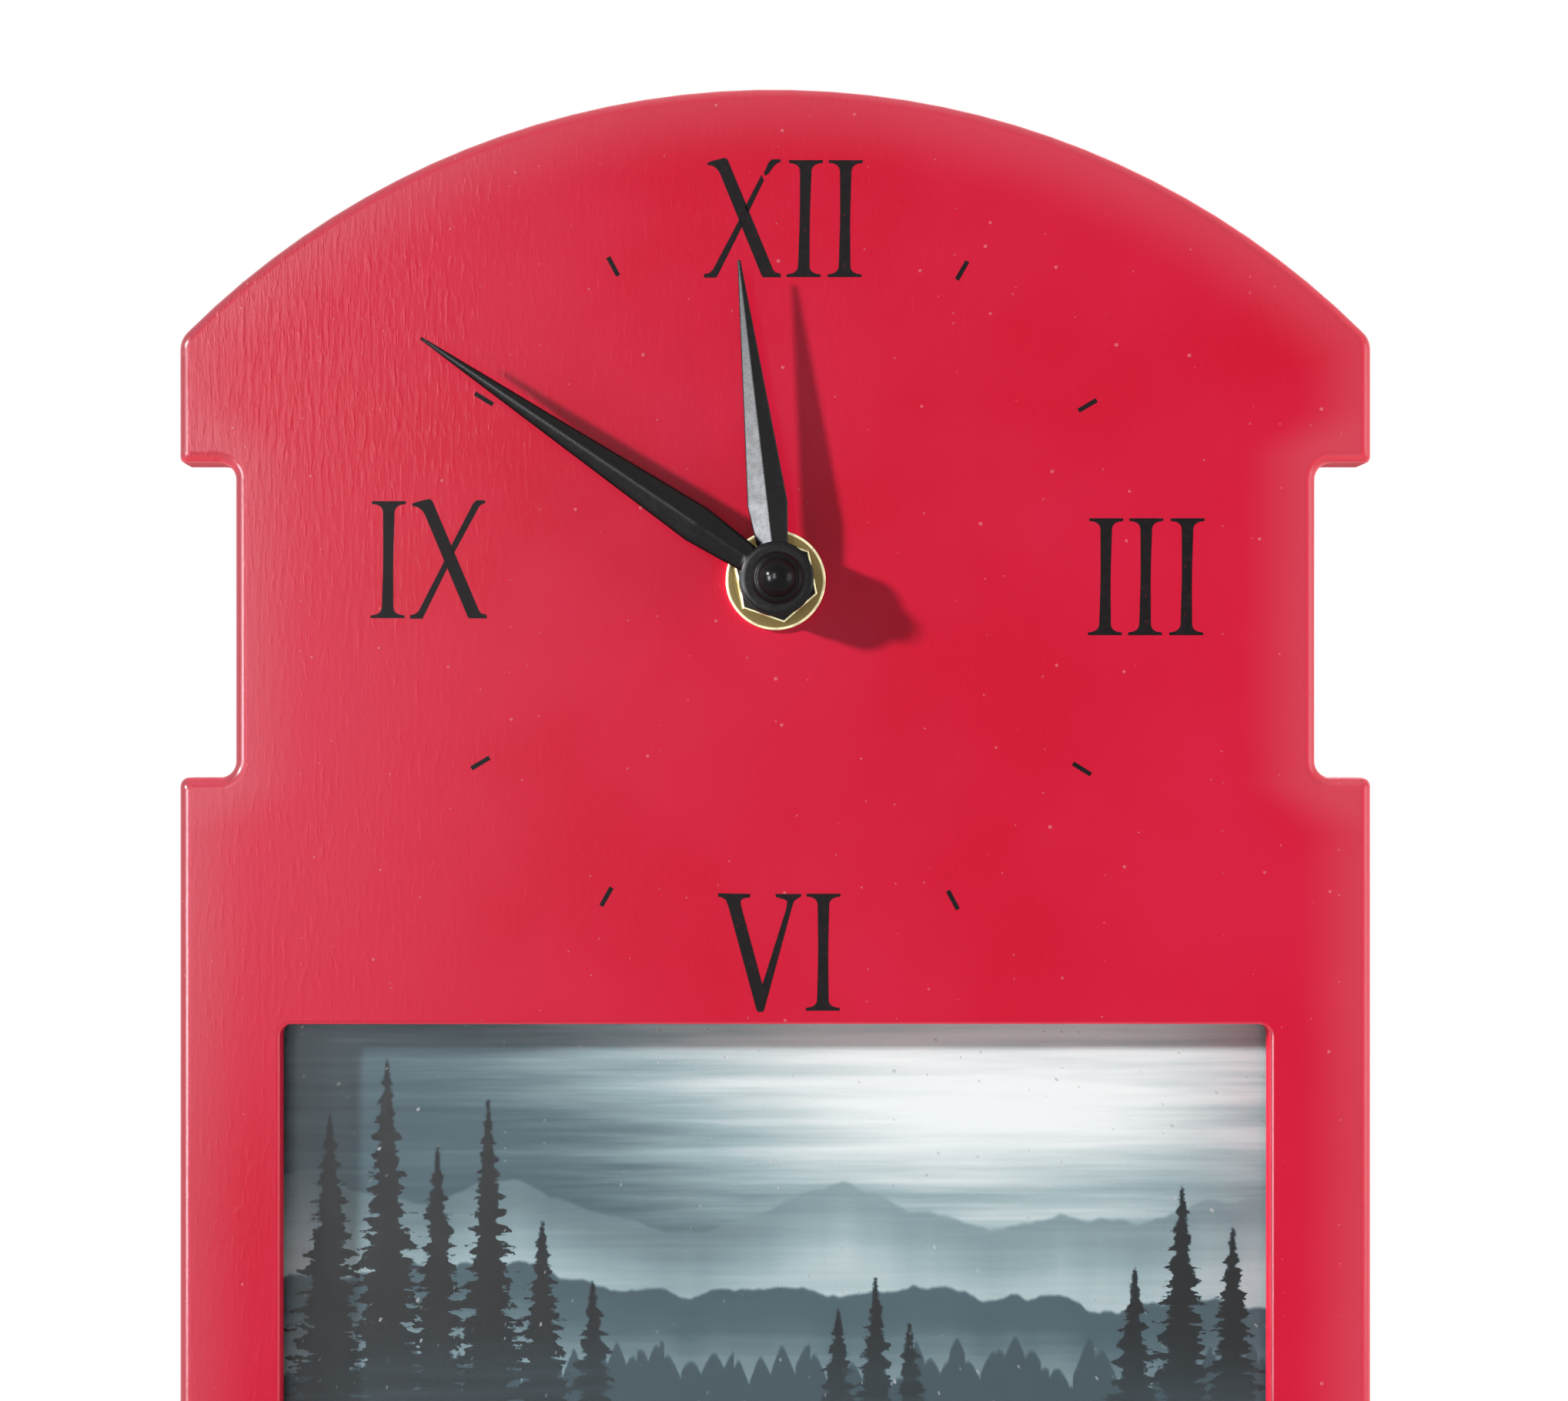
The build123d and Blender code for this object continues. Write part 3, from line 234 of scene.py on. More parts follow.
class Recipe:
    """A material in the making: its tree, its main shader and short calls for its nodes."""

    def __init__(self, name: str, world: bpy.types.World | None = None) -> None:
        """Start a material whose output shows one Principled shader, or a world's background.

        Args:
            name: The material's name.
            world: The world to work on in place of a new material.
        """
        self.material = world or bpy.data.materials.new(name)
        self.material.use_nodes = True
        self.tree = self.material.node_tree
        self.shader = next(n for n in self.tree.nodes if n.type in ("BSDF_PRINCIPLED", "BACKGROUND"))
        self.output = next(n for n in self.tree.nodes if n.type in ("OUTPUT_MATERIAL", "OUTPUT_WORLD"))

    def put(self, socket: bpy.types.NodeSocket, value: object) -> None:
        """Link a shade to a socket, or set the socket's own value.

        Args:
            socket: The input to feed.
            value: A shade, a number, a vector or a colour.
        """
        if isinstance(value, Shade):
            self.tree.links.new(value.socket, socket)
        elif socket.type == "RGBA":
            socket.default_value = (*value, 1)
        else:
            socket.default_value = value

    def node(
        self,
        kind: str,
        settings: dict[str, object] | None = None,
        sockets: dict[Union[str, int], object] | None = None,
        output: Union[str, int] = 0,
    ) -> Shade:
        """Add one node.

        Args:
            kind: Blender's name for the node's type.
            settings: The node's own properties, set first.
            sockets: Values or shades for its inputs, by name or number.
            output: The output to hand back.

        Returns:
            That output as a shade.
        """
        made = self.tree.nodes.new(kind)
        for key, value in (settings or {}).items():
            setattr(made, key, value)
        for key, value in (sockets or {}).items():
            self.put(made.inputs[key], value)
        return Shade(self, made.outputs[output])

    @cached_property
    def board(self) -> tuple[Shade, Shade, Shade]:
        """Across, up and out on the board, in millimetres."""
        place = self.node("ShaderNodeTexCoord", output="Object")
        sockets = {0: place, 1: tuple(SPACE.origin)}
        offset = self.node("ShaderNodeVectorMath", {"operation": "SUBTRACT"}, sockets)
        return tuple(self.along(offset, axis) / MM for axis in SPACE.axes())

    @cached_property
    def place(self) -> Shade:
        """The same three as one vector."""
        return self.vector(*self.board)

    @cached_property
    def about_shaft(self) -> tuple[Shade, Shade, Shade]:
        """How far a place lies aside of the shaft, above it and away from its axis."""
        centre, height = joint_spot(SHAFT_JOINT)
        aside, above = self.board[0] - centre, self.board[1] - height
        return aside, above, aside.hypot(above)

    def along(self, vector: Shade, axis: Vector) -> Shade:
        """Return how far a vector reaches along an axis."""
        sockets = {0: vector, 1: tuple(axis)}
        return self.node("ShaderNodeVectorMath", {"operation": "DOT_PRODUCT"}, sockets, "Value")

    def facing(self, axis: Vector) -> Shade:
        """Return 1 where the surface faces along the axis, 0 side on and -1 where it faces away."""
        return self.along(self.node("ShaderNodeTexCoord", output="Normal"), axis)

    def vector(self, first: Operand, second: Operand, third: Operand) -> Shade:
        """Join three values into a vector."""
        return self.node("ShaderNodeCombineXYZ", {}, {0: first, 1: second, 2: third})

    def noise(self, place: Shade, scale: float = 1, detail: float = 3, rough: float = 0.55) -> Shade:
        """Return cloudy noise about one half.

        Args:
            place: Where it is read.
            scale: How many features go to a unit of the place.
            detail: How many finer layers it has.
            rough: How strong the finer layers are.

        Returns:
            The noise from 0 to 1.
        """
        sockets = {"Vector": place, "Scale": scale, "Detail": detail, "Roughness": rough}
        return self.node("ShaderNodeTexNoise", {}, sockets)

    def grain(
        self, across: float, up: float, out: float, detail: float = 3, rough: float = 0.55
    ) -> Shade:
        """Return noise that is drawn out along the board.

        Args:
            across: How many features go to a millimetre across.
            up: The same up the board.
            out: The same out of its face.
            detail: How many finer layers it has.
            rough: How strong the finer layers are.

        Returns:
            The noise from 0 to 1.
        """
        ways = (way * scale for way, scale in zip(self.board, (across, up, out)))
        return self.noise(self.vector(*ways), 1, detail, rough)

    def rings(self, scale: float, detail: float, rough: float) -> Shade:
        """Return noise in turning rings about the shaft.

        Args:
            scale: How many rings go to a millimetre.
            detail: How many finer layers it has.
            rough: How strong the finer layers are.

        Returns:
            The noise from 0 to 1.
        """
        _, _, radius = self.about_shaft
        return self.noise(self.vector(radius * scale, self.board[2] * scale, 0), 1, detail, rough)

    def cells(self, place: Shade, scale: float) -> tuple[Shade, Shade]:
        """Scatter points over the plane of a place's first two values.

        Args:
            place: Where they are read.
            scale: How many points go to a unit of the place.

        Returns:
            The distance to the nearest point, and a random number for that point.
        """
        flat = {"voronoi_dimensions": "2D"}
        distance = self.node("ShaderNodeTexVoronoi", flat, {"Vector": place, "Scale": scale}, "Distance")
        pick = self.node("ShaderNodeSeparateColor", {}, {0: distance.sibling("Color")})
        return distance, pick

    def specks(self, place: Shade, scale: float, radius: float, share: float) -> Shade:
        """Return small round spots.

        Args:
            place: Where they are read.
            scale: How many cells go to a unit of the place.
            radius: Radius of a spot as a share of a cell.
            share: Share of the cells that hold a spot.

        Returns:
            1 in a spot and 0 around it.
        """
        distance, pick = self.cells(place, scale)
        size = radius * pick.ramp(0, share, 1, 0.4)
        return distance.ramp(size, size * 0.55) * pick.ramp(share, share - 0.01)

    def blend(self, first: Tint, second: Tint, share: Operand) -> Shade:
        """Mix two colours.

        Args:
            first: The colour at share 0.
            second: The colour at share 1.
            share: How much of the second shows.

        Returns:
            The mixed colour.
        """
        return self.node("ShaderNodeMix", {"data_type": "RGBA"}, {0: share, 6: first, 7: second}, 2)

    def layers(self, first: Tint, *others: tuple[Tint, Operand]) -> Shade:
        """Lay colours over a first one, each by its own share."""
        return reduce(lambda colour, layer: self.blend(colour, *layer), others, first)

    def seen_directly(self) -> Shade:
        """Return 1 for what shows straight or by mirror and glass, and 0 for what only gives light."""
        path = self.node("ShaderNodeLightPath", output="Is Camera Ray")
        seen = path.most(path.sibling("Is Glossy Ray")).most(path.sibling("Is Transmission Ray"))
        return seen * path.sibling("Diffuse Depth").ramp(1, 0)

    def relief(self, height: Shade, distance: float, edge: float = 0) -> None:
        """Raise the surface, as shading.

        Args:
            height: How high it stands, from 0 to 1.
            distance: What 1 stands for, in millimetres.
            edge: Radius, in millimetres, that softens its sharp edges.
        """
        sockets = {"Distance": distance * MM, "Height": height}
        if edge:
            rounded = {"Radius": edge * MM}
            sockets["Normal"] = self.node("ShaderNodeBevel", {"samples": BEVEL_SAMPLES}, rounded)
        self.put(self.shader.inputs["Normal"], self.node("ShaderNodeBump", {}, sockets))

    def finish(self, **sockets: object) -> bpy.types.Material:
        """Set the main shader's sockets.

        Args:
            sockets: Values or shades by the sockets' names, in small letters with _ for a space.

        Returns:
            The finished material.
        """
        names = {socket.name.lower().replace(" ", "_"): socket for socket in self.shader.inputs}
        for key, value in sockets.items():
            self.put(names[key], value)
        return self.material


class Finish(Protocol):
    """Anything that builds a material."""

    def material(self) -> bpy.types.Material:
        """Build the finish."""


@dataclass(frozen=True)
class BoardOutline:
    """The sizes of the board's outline that its finish follows, in millimetres."""

    half_width: float = 87.5
    waist_half: float = 79.3
    height: float = 260.0
    dome_rise: float = 36.8
    notch_top: float = 205.0
    notch_bottom: float = 158.8

    def dome_radius(self) -> float:
        """Return the radius of the arc over the cap."""
        return (self.half_width**2 + self.dome_rise**2) / (2 * self.dome_rise)

    def inset(self, across: Shade, up: Shade, blur: float = 0.1) -> Shade:
        """Return the distance in from the outline.

        Args:
            across: Place across the board.
            up: Place up the board.
            blur: How far the notches' ends reach past them, softly.

        Returns:
            The distance in millimetres.
        """
        in_notch = up.ramp(self.notch_bottom - blur, self.notch_bottom)
        in_notch = in_notch * up.ramp(self.notch_top + blur, self.notch_top)
        side = self.half_width - in_notch * (self.half_width - self.waist_half) - abs(across)
        above = (up - (self.height - self.dome_radius())).most(0)
        return side.least(self.dome_radius() - across.hypot(above)).least(up)


@dataclass(frozen=True)
class BoardPaint:
    """Satin red brushed on a fibreboard, worn pale along its edges and bare at the back.

    A painted pale sheen lies on the red towards the outline. Where the board rounds over, painted shade
    darkens the side that faces the hard lamp and painted light brightens the others, so that its edges
    show about as bright all round.
    """

    outline: BoardOutline = BoardOutline()
    red: Colour = tone(205, 20, 50)
    fresh: Colour = tone(208, 27, 60)
    worn: Colour = tone(219, 92, 106)
    dust: Colour = tone(226, 140, 148)
    # The next two colours are painted shade and painted light on the rounded edges: the darker one where
    # they face the hard lamp, the brighter one where they face away from it.
    thin: Colour = tone(140, 44, 56)
    painted_light_off_lamp_side: Colour = tone(255, 62, 84)
    # A pale colour painted as a sheen along the outline.
    painted_sheen: Colour = tone(207, 98, 110)
    board: Colour = tone(158, 120, 84)
    fibre: Colour = tone(112, 80, 54)
    pale_fibre: Colour = tone(196, 162, 122)
    sheen_reach: float = 12.0
    notch_blur: float = 9.0
    overspray_reach: float = 10.5
    thick_across: Span = (-30.0, -82.0)
    thick_up: Span = (178.0, 225.0)
    depth: float = 0.15
    gloss: float = 0.115
    rim_gloss: float = 0.55
    rim_rough: float = 0.24
    ridge_gloss: float = 0.16

    def bare_board(self, mix: Recipe, strand: Shade) -> Shade:
        """Return the colour of the fibreboard, by the noise of its strands."""
        pale = strand.ramp(0.6, 0.8) * 0.7
        return mix.layers(self.fibre, (self.board, strand.ramp(0.3, 0.6)), (self.pale_fibre, pale))

    def material(self) -> bpy.types.Material:
        """Build the finish."""
        mix = Recipe("board_paint")
        across, up, out = mix.board
        facing = mix.facing(SPACE.out)
        streak = mix.grain(1.4, 0.17, 0.5, 3, 0.6)
        bristle = mix.grain(1.3, 0.36, 1.3, 3, 0.6)
        strand = mix.grain(1.6, 1.1, 6, 5, 0.75)
        cloud = mix.noise(mix.place, 0.022)
        peel = mix.noise(mix.place, 1.1, 2)
        rub = mix.noise(mix.place, 0.35, 4, 0.7).ramp(0.3, 0.75, 0.05, 0.3)
        large = mix.specks(mix.place, 0.1, 0.034, 0.4)
        small = mix.specks(mix.place, 0.23, 0.045, 0.2)

        # Where each colour shows.
        edge = facing.ramp(0.995, 0.75) * out.ramp(-2.2, -1.6)
        # A band near the outline where a painted sheen pales the red.
        sheen_band = self.outline.inset(across, up, self.notch_blur).ramp(self.sheen_reach, -2)
        # How far the surface faces the hard lamp, for painted shade and painted light on the rounded
        # edges.
        lamp_facing = mix.facing(SPACE.direction(*KEY_WAY))
        rounded = facing.ramp(0.05, 0.35)
        overspray = self.outline.inset(across, up) + cloud * 5 + strand * 3
        bare = facing.ramp(-0.4, -0.6) * (1 - overspray.ramp(self.overspray_reach, 4) * 0.85)
        colour = mix.layers(
            self.red,
            (self.fresh, cloud.ramp(0.35, 0.65)),
            (self.worn, bristle.ramp(0.62, 0.9) * 0.05),
            (self.worn, edge * rub),
            (self.painted_sheen, sheen_band * facing.ramp(0.4, 0.9) * 0.4),
            # Painted shade where the rounding faces the hard lamp, painted light where it faces away from
            # it.
            (self.thin, lamp_facing.ramp(0.5, 0.95) * rounded * 0.85),
            (self.painted_light_off_lamp_side, lamp_facing.ramp(0.44, 0.1) * rounded),
            (self.dust, (large * 0.4 + small * 0.28) * facing.ramp(0.5, 0.9)),
            (self.bare_board(mix, strand), bare),
        )

        # The paint lies thickest at the upper left.
        drift = (cloud - 0.5) * 60
        thick = (across + drift).ramp(*self.thick_across, 0.1, 1.0)
        thick = thick * (up + drift).ramp(*self.thick_up, 0.28, 1.0)
        ridge = bristle.ramp(0.5, 0.8)
        height = (streak * 0.45 + ridge * 0.45) * thick + peel * 0.07
        mix.relief(height + large * 0.2 + small * 0.15 + strand * bare * 0.5, self.depth)
        rough = cloud.ramp(0.3, 0.7, 0.24, 0.3) + bristle * 0.05 + bare * 0.4
        rough = rough + facing.ramp(0.3, 0.1) * (1 - bare) * 0.3
        rounding = facing.ramp(0.998, 0.88) * facing.ramp(0.1, 0.5)
        shine = (rounding * self.rim_gloss).most(ridge * thick * self.ridge_gloss)
        return mix.finish(
            base_color=colour,
            roughness=rough,
            specular_ior_level=self.gloss,
            coat_weight=shine * (1 - bare),
            coat_roughness=self.rim_rough,
        )


@dataclass(frozen=True)
class DialInk:
    """Black ink printed on the paint, thin at its edges."""

    ink: Colour = tone(13, 9, 10)
    thin: Colour = tone(34, 22, 26)
    under: Colour = tone(150, 26, 44)

    def material(self) -> bpy.types.Material:
        """Build the finish."""
        mix = Recipe("dial_ink")
        patch = mix.noise(mix.place, 0.8, 4, 0.7)
        pin = mix.specks(mix.place, 0.7, 0.1, 0.12)
        colour = mix.layers(self.ink, (self.thin, patch.ramp(0.45, 0.75)), (self.under, pin * 0.6))
        mix.relief(mix.grain(0.9, 0.1, 1) + patch * 0.3, 0.02)
        rough = patch.ramp(0.3, 0.7, 0.42, 0.55)
        return mix.finish(base_color=colour, roughness=rough, specular_ior_level=0.08)


@dataclass(frozen=True)
class Enamel:
    """Satin black enamel on pressed metal, with a little dust and fine rubbing.

    Its edges are softened by edge, its relief is grit deep, and it is duller on the sides, from where
    they face out by less than flank.
    """

    name: str
    black: Colour = tone(9, 8, 9)
    rubbed: Colour = tone(40, 39, 45)
    dull: float = 0.27
    shine: float = 0.2
    level: float = 0.2
    edge: float = 0.35
    flank: float = 0.4
    grit: float = 0.012

    def material(self) -> bpy.types.Material:
        """Build the finish."""
        mix = Recipe(self.name)
        mottle = mix.noise(mix.place, 0.9, 4, 0.65)
        fine = mix.noise(mix.place, 5, 2)
        dust = mix.specks(mix.place, 0.5, 0.06, 0.15)
        colour = mix.blend(self.black, self.rubbed, mottle.ramp(0.5, 0.8) * 0.2 + dust * 0.5)
        mix.relief(mottle * 0.7 + fine * 0.3, self.grit, self.edge)
        rough = mottle.ramp(0.3, 0.7, self.shine, self.dull) + fine * 0.05
        rough = rough + mix.facing(SPACE.out).ramp(self.flank, self.flank - 0.3) * 0.35
        return mix.finish(base_color=colour, roughness=rough, specular_ior_level=self.level)


@dataclass(frozen=True)
class TurnedMetal:
    """Metal with fine turning rings about the shaft, or a plain fine grain."""

    name: str
    bright: Colour
    dark: Colour
    rough: float = 0.24
    turned: bool = False
    edge: float = 0.12

    def material(self) -> bpy.types.Material:
        """Build the finish."""
        mix = Recipe(self.name)
        stain = mix.noise(mix.place, 0.35, 4, 0.65)
        grain = mix.rings(5, 3, 0.7) if self.turned else mix.grain(7, 1.2, 7, 3, 0.6)
        dark = stain.ramp(0.45, 0.75) * 0.7 + grain.ramp(0.6, 0.9) * 0.2
        mix.relief(grain, 0.012, self.edge)
        rough = self.rough + stain.ramp(0.4, 0.7, 0, 0.14) + grain * 0.06
        return mix.finish(
            base_color=mix.blend(self.bright, self.dark, dark), roughness=rough, metallic=1.0
        )


@dataclass(frozen=True)
class NutBrass:
    """Brass with stains, with a painted highlight along its edges and a painted dull reflection between
    them.

    A hexagon on top is painted black as the shade and dark reflection of the hands' discs above it. Its
    sides are drawn in from the nut's own, and the first of them faces side_angle.
    """

    # bright is a painted highlight, deep a painted dull reflection that also tints the stains, black the
    # painted shade on top.
    bright: Colour = tone(232, 222, 178)
    deep: Colour = tone(112, 96, 60)
    black: Colour = tone(16, 13, 12)
    top_level: float = 3.0
    # Half the width across the flats of the hexagon of painted shade.
    painted_shade_half: float = 5.27
    side_angle: float = 11.0
    rim_radius: float = 7.3
    flange_level: float = 0.8

    def material(self) -> bpy.types.Material:
        """Build the finish."""
        mix = Recipe("nut_brass")
        aside, above, radius = mix.about_shaft
        out = mix.board[2]
        turning = mix.rings(4, 2, 0.6)
        stain = mix.noise(mix.place, 0.6, 3, 0.6)
        # A hexagon on the top face is painted black as the shade and dark reflection of the hands' discs
        # above it; there the brass is also made rougher and not metal.
        reach = aside * 0
        for step in range(3):
            turn = math.radians(self.side_angle + 60 * step)
            reach = reach.most(abs(aside * math.cos(turn) + above * math.sin(turn)))
        top = reach.ramp(self.painted_shade_half + 0.06, self.painted_shade_half - 0.06)
        top = top * out.ramp(self.top_level - 1.3, self.top_level - 1.1)
        # Painted highlight: the rim and all above the flange are painted bright, the flange face between
        # stays dull.
        edge = radius.ramp(self.rim_radius - 0.45, self.rim_radius - 0.25)
        edge = edge.most(out.ramp(self.flange_level + 0.05, self.flange_level + 0.2))
        colour = mix.layers(
            self.deep,
            (self.bright, edge),
            (self.deep, stain.ramp(0.4, 0.75) * 0.5 + turning.ramp(0.5, 0.8) * 0.2),
            (self.black, top),
        )
        mix.relief(turning, 0.012, 0.22)
        rough = 0.2 + turning * 0.08 + top * 0.3
        return mix.finish(base_color=colour, roughness=rough, metallic=1 - top, specular_ior_level=0.15)


@dataclass(frozen=True)
class Moulding:
    """Moulded plastic or rubber with a fine spark texture and light handling marks."""

    name: str
    body: Colour
    rubbed: Colour
    rough: float = 0.45
    texture: float = 0.03
    level: float = 0.4
    edge: float = 0.3

    def material(self) -> bpy.types.Material:
        """Build the finish."""
        mix = Recipe(self.name)
        spark = mix.noise(mix.place, 6, 2, 0.5)
        flow = mix.noise(mix.place, 0.12)
        scuff = mix.grain(0.4, 3, 0.8, 4, 0.75).ramp(0.68, 0.8)
        colour = mix.blend(self.body, self.rubbed, flow.ramp(0.4, 0.8) * 0.25 + scuff * 0.2)
        mix.relief(spark + scuff * 0.4, self.texture, self.edge)
        rough = self.rough + flow.ramp(0.3, 0.7, -0.05, 0.08) + scuff * 0.05
        return mix.finish(base_color=colour, roughness=rough, specular_ior_level=self.level)


@dataclass(frozen=True)
class Hardboard:
    """Pressed brown hardboard with its mesh-marked rough side."""

    brown: Colour = tone(104, 72, 46)
    dark: Colour = tone(70, 46, 30)
    fleck: Colour = tone(148, 112, 78)
    mesh_turns: float = 3.1

    def material(self) -> bpy.types.Material:
        """Build the finish."""
        mix = Recipe("hardboard")
        fibre = mix.grain(1.2, 1.7, 4, 5, 0.75)
        cloud = mix.noise(mix.place, 0.05)
        wires = [(way * self.mesh_turns).maths("SINE") for way in mix.board[:2]]
        colour = mix.layers(
            self.dark,
            (self.brown, fibre.ramp(0.3, 0.6) * 0.8 + cloud * 0.3),
            (self.fleck, fibre.ramp(0.62, 0.8) * 0.5),
        )
        mix.relief(fibre * 0.6 + wires[0] * wires[1] * 0.35, 0.09)
        rough = fibre.ramp(0.2, 0.8, 0.6, 0.85)
        return mix.finish(base_color=colour, roughness=rough, specular_ior_level=0.3)


@dataclass(frozen=True)
class StrutPaint:
    """Thin black stain rubbed through to the fibreboard at the strut's edges."""

    stain: Colour = tone(36, 32, 31)
    worn: Colour = tone(92, 72, 54)

    def material(self) -> bpy.types.Material:
        """Build the finish."""
        mix = Recipe("strut_stain")
        grain = mix.grain(1.4, 0.35, 1.4, 5, 0.7)
        cloud = mix.noise(mix.place, 0.06)
        scuff = mix.noise(mix.place, 0.5, 4, 0.75)
        worn = grain.ramp(0.6, 0.85) * 0.4 + scuff.ramp(0.7, 0.8) * 0.4
        mix.relief(grain + scuff * 0.3, 0.06, 0.6)
        return mix.finish(
            base_color=mix.blend(self.stain, self.worn, worn),
            roughness=cloud.ramp(0.3, 0.7, 0.5, 0.68),
            specular_ior_level=0.35,
        )


@dataclass(frozen=True)
class WindowGlass:
    """Clear picture glass with a few specks of dust, which lets the lamps through to the print."""

    clear: Colour = (0.985, 0.995, 0.99)
    dust: Colour = tone(190, 196, 200)
    haze: float = 0.03
    bend: float = 1.22

    def material(self) -> bpy.types.Material:
        """Build the finish."""
        mix = Recipe("window_glass")
        smear = mix.grain(0.03, 0.05, 1, 4, 0.7)
        mix.finish(
            base_color=self.clear,
            roughness=smear.ramp(0.45, 0.8, 0.0, self.haze),
            transmission_weight=1.0,
            ior=self.bend,
        )
        flat = mix.vector(*mix.board[:2], 0)
        fleck = mix.specks(flat, 0.17, 0.05, 0.25) + mix.specks(flat, 0.4, 0.05, 0.12)
        shadow = mix.node("ShaderNodeLightPath", output="Is Shadow Ray")
        lamp = shadow.most(shadow.sibling("Is Diffuse Ray"))
        open_way = mix.node("ShaderNodeBsdfTransparent", {}, {0: self.clear})
        glass = Shade(mix, mix.shader.outputs[0])
        dirt = mix.node("ShaderNodeBsdfDiffuse", {}, {"Color": self.dust})
        face = mix.facing(SPACE.out).ramp(0.9, 0.99)
        dusty = mix.node("ShaderNodeMixShader", {}, {0: fleck * face * 0.6, 1: glass, 2: dirt})
        both = mix.node("ShaderNodeMixShader", {}, {0: lamp, 1: dusty, 2: open_way})
        mix.put(mix.output.inputs["Surface"], both)
        return mix.material


@dataclass(frozen=True)
class Hill:
    """One far hill: the level of its crest, its swing, its waves to a millimetre and its lightness."""

    level: float
    swing: float
    waves: float
    light: float


@dataclass(frozen=True)
class Fir:
    """One fir: its trunk's place across the board, the height of its tip and its slope."""

    trunk: float
    tip: float
    slope: float


@dataclass(frozen=True)
class LakePicture:
    """A misty lake in blue-grey tones: far hills, two banks of firs and their reflection."""

    night: Colour = tone(13, 14, 16)
    slate: Colour = tone(74, 95, 104)
    mist: Colour = tone(158, 180, 186)
    pale: Colour = tone(242, 245, 247)
    shore: float = 66.0
    glow: Spot = (34.0, 114.0)
    glow_size: Span = (92.0, 44.0)
    hills: tuple[Hill, ...] = (Hill(95.0, 18.0, 0.021, 0.38), Hill(83.0, 13.0, 0.034, 0.24))
    haze_height: float = 14.0
    wood_light: float = 0.2
    fir_light: float = 0.02
    fog_height: float = 16.0
    tier_height: float = 2.7
    firs: tuple[Fir, ...] = (
        Fir(-66.0, 109.0, 0.17),
        Fir(-57.5, 117.0, 0.15),
        Fir(-50.0, 104.0, 0.16),
        Fir(-42.5, 111.0, 0.14),
        Fir(-34.5, 93.0, 0.19),
        Fir(-27.0, 84.0, 0.22),
        Fir(9.5, 80.0, 0.2),
        Fir(15.0, 84.5, 0.18),
        Fir(20.0, 78.0, 0.22),
        Fir(53.5, 86.0, 0.2),
        Fir(60.5, 98.0, 0.17),
        Fir(68.0, 92.0, 0.18),
    )

    def outline(self, fir: Fir, across: Shade, up: Shade, needles: Shade, bough: Shade) -> Shade:
        """Return the silhouette of one fir.

        Args:
            fir: The tree.
            across: Place across the board.
            up: Place up the board.
            needles: Fine uneven edge, about zero.
            bough: How far the boughs reach there, about one.

        Returns:
            1 inside the tree and 0 in the air.
        """
        drop = fir.tip - up + needles * 0.8
        tier = (drop / self.tier_height + fir.trunk).maths("FRACT")
        wide = drop * fir.slope * (0.5 + tier * 0.5) * bough
        edge = abs(across - fir.trunk) - wide - needles * 0.5 - 0.15
        return edge.ramp(0.2, -0.2) * drop.ramp(-0.3, 0.6)

    def view(self, mix: Recipe, across: Shade, up: Shade) -> Shade:
        """Return how light the view is above the shore.

        Args:
            mix: The print's recipe.
            across: Place across the board.
            up: Place up the board.

        Returns:
            The lightness, from 0 for night to 1 for the palest mist.
        """
        bands = mix.noise(mix.vector(across * 0.009, up * 0.12, 3), 1, 4, 0.6)
        wisp = mix.noise(mix.vector(across * 0.02, up * 0.5, 8), 1, 3, 0.6)
        aside, above = (
            (way - middle) / size for way, middle, size in zip((across, up), self.glow, self.glow_size)
        )
        glow = aside.hypot(above).ramp(1.0, 0.05)
        light = 0.26 + glow * 0.56 + (bands - 0.5) * 0.6 + (wisp - 0.5) * 0.24
        for hill in self.hills:
            crest = mix.noise(mix.vector(across * hill.waves, hill.level, 0), 1, 5, 0.5)
            ridge = hill.level + (crest - 0.5) * hill.swing * 2 - across * 0.04
            haze = (ridge - up).ramp(0, self.haze_height, 0, 0.2) + (wisp - 0.5) * 0.12
            inside = (up - ridge).ramp(0.4, -0.4)
            light = light + inside * (hill.light + haze + glow * 0.16 - light)
        ragged = mix.noise(mix.vector(across * 0.9, up * 1.8, 5), 1, 4, 0.75) * 2 - 1
        teeth, pick = mix.cells(mix.vector(across, 31, 0), 0.36)
        wood = self.shore + 3 + mix.noise(mix.vector(across * 0.045, 9, 0), 1, 2) * 9 + pick * 3
        far = (up + teeth * 7 + ragged * 0.6 - wood).ramp(0.5, -0.5)
        light = light + far * (self.wood_light - light)
        needles = mix.noise(mix.vector(across * 1.6, up * 2.2, 5), 1, 3, 0.7) * 2 - 1
        bough = mix.noise(mix.vector(across * 0.3, up * 0.8, 12), 1, 2).ramp(0.25, 0.75, 0.45, 1.5)
        trees = far * 0
        for fir in self.firs:
            trees = trees.most(self.outline(fir, across, up, needles, bough))
        fog = (up - self.shore).ramp(self.fog_height, 0, 0, 0.3) * wisp
        return light + trees * (self.fir_light + fog * 0.6 - light)

    def material(self) -> bpy.types.Material:
        """Build the print."""
        mix = Recipe("lake_picture")
        across, up, _ = mix.board
        ripple = mix.noise(mix.vector(across * 0.05, up * 1.1, 5), 1, 3, 0.6) - 0.5
        water = 1 - (up - self.shore - ripple).ramp(-0.3, 0.3)
        sway = water * ripple * 6
        light = self.view(mix, across + sway, self.shore + abs(up - self.shore) + sway)
        grain = mix.noise(mix.place, 3.5, 2) - 0.5
        light = light + water * (light * -0.26 + ripple * 0.34 + 0.05) + grain * 0.05
        colour = mix.layers(
            self.night,
            (self.slate, light.ramp(0.0, 0.34)),
            (self.mist, light.ramp(0.28, 0.62)),
            (self.pale, light.ramp(0.5, 0.85)),
        )
        mix.relief(grain, 0.01)
        return mix.finish(base_color=colour, roughness=0.38 + grain * 0.05, specular_ior_level=0.12)


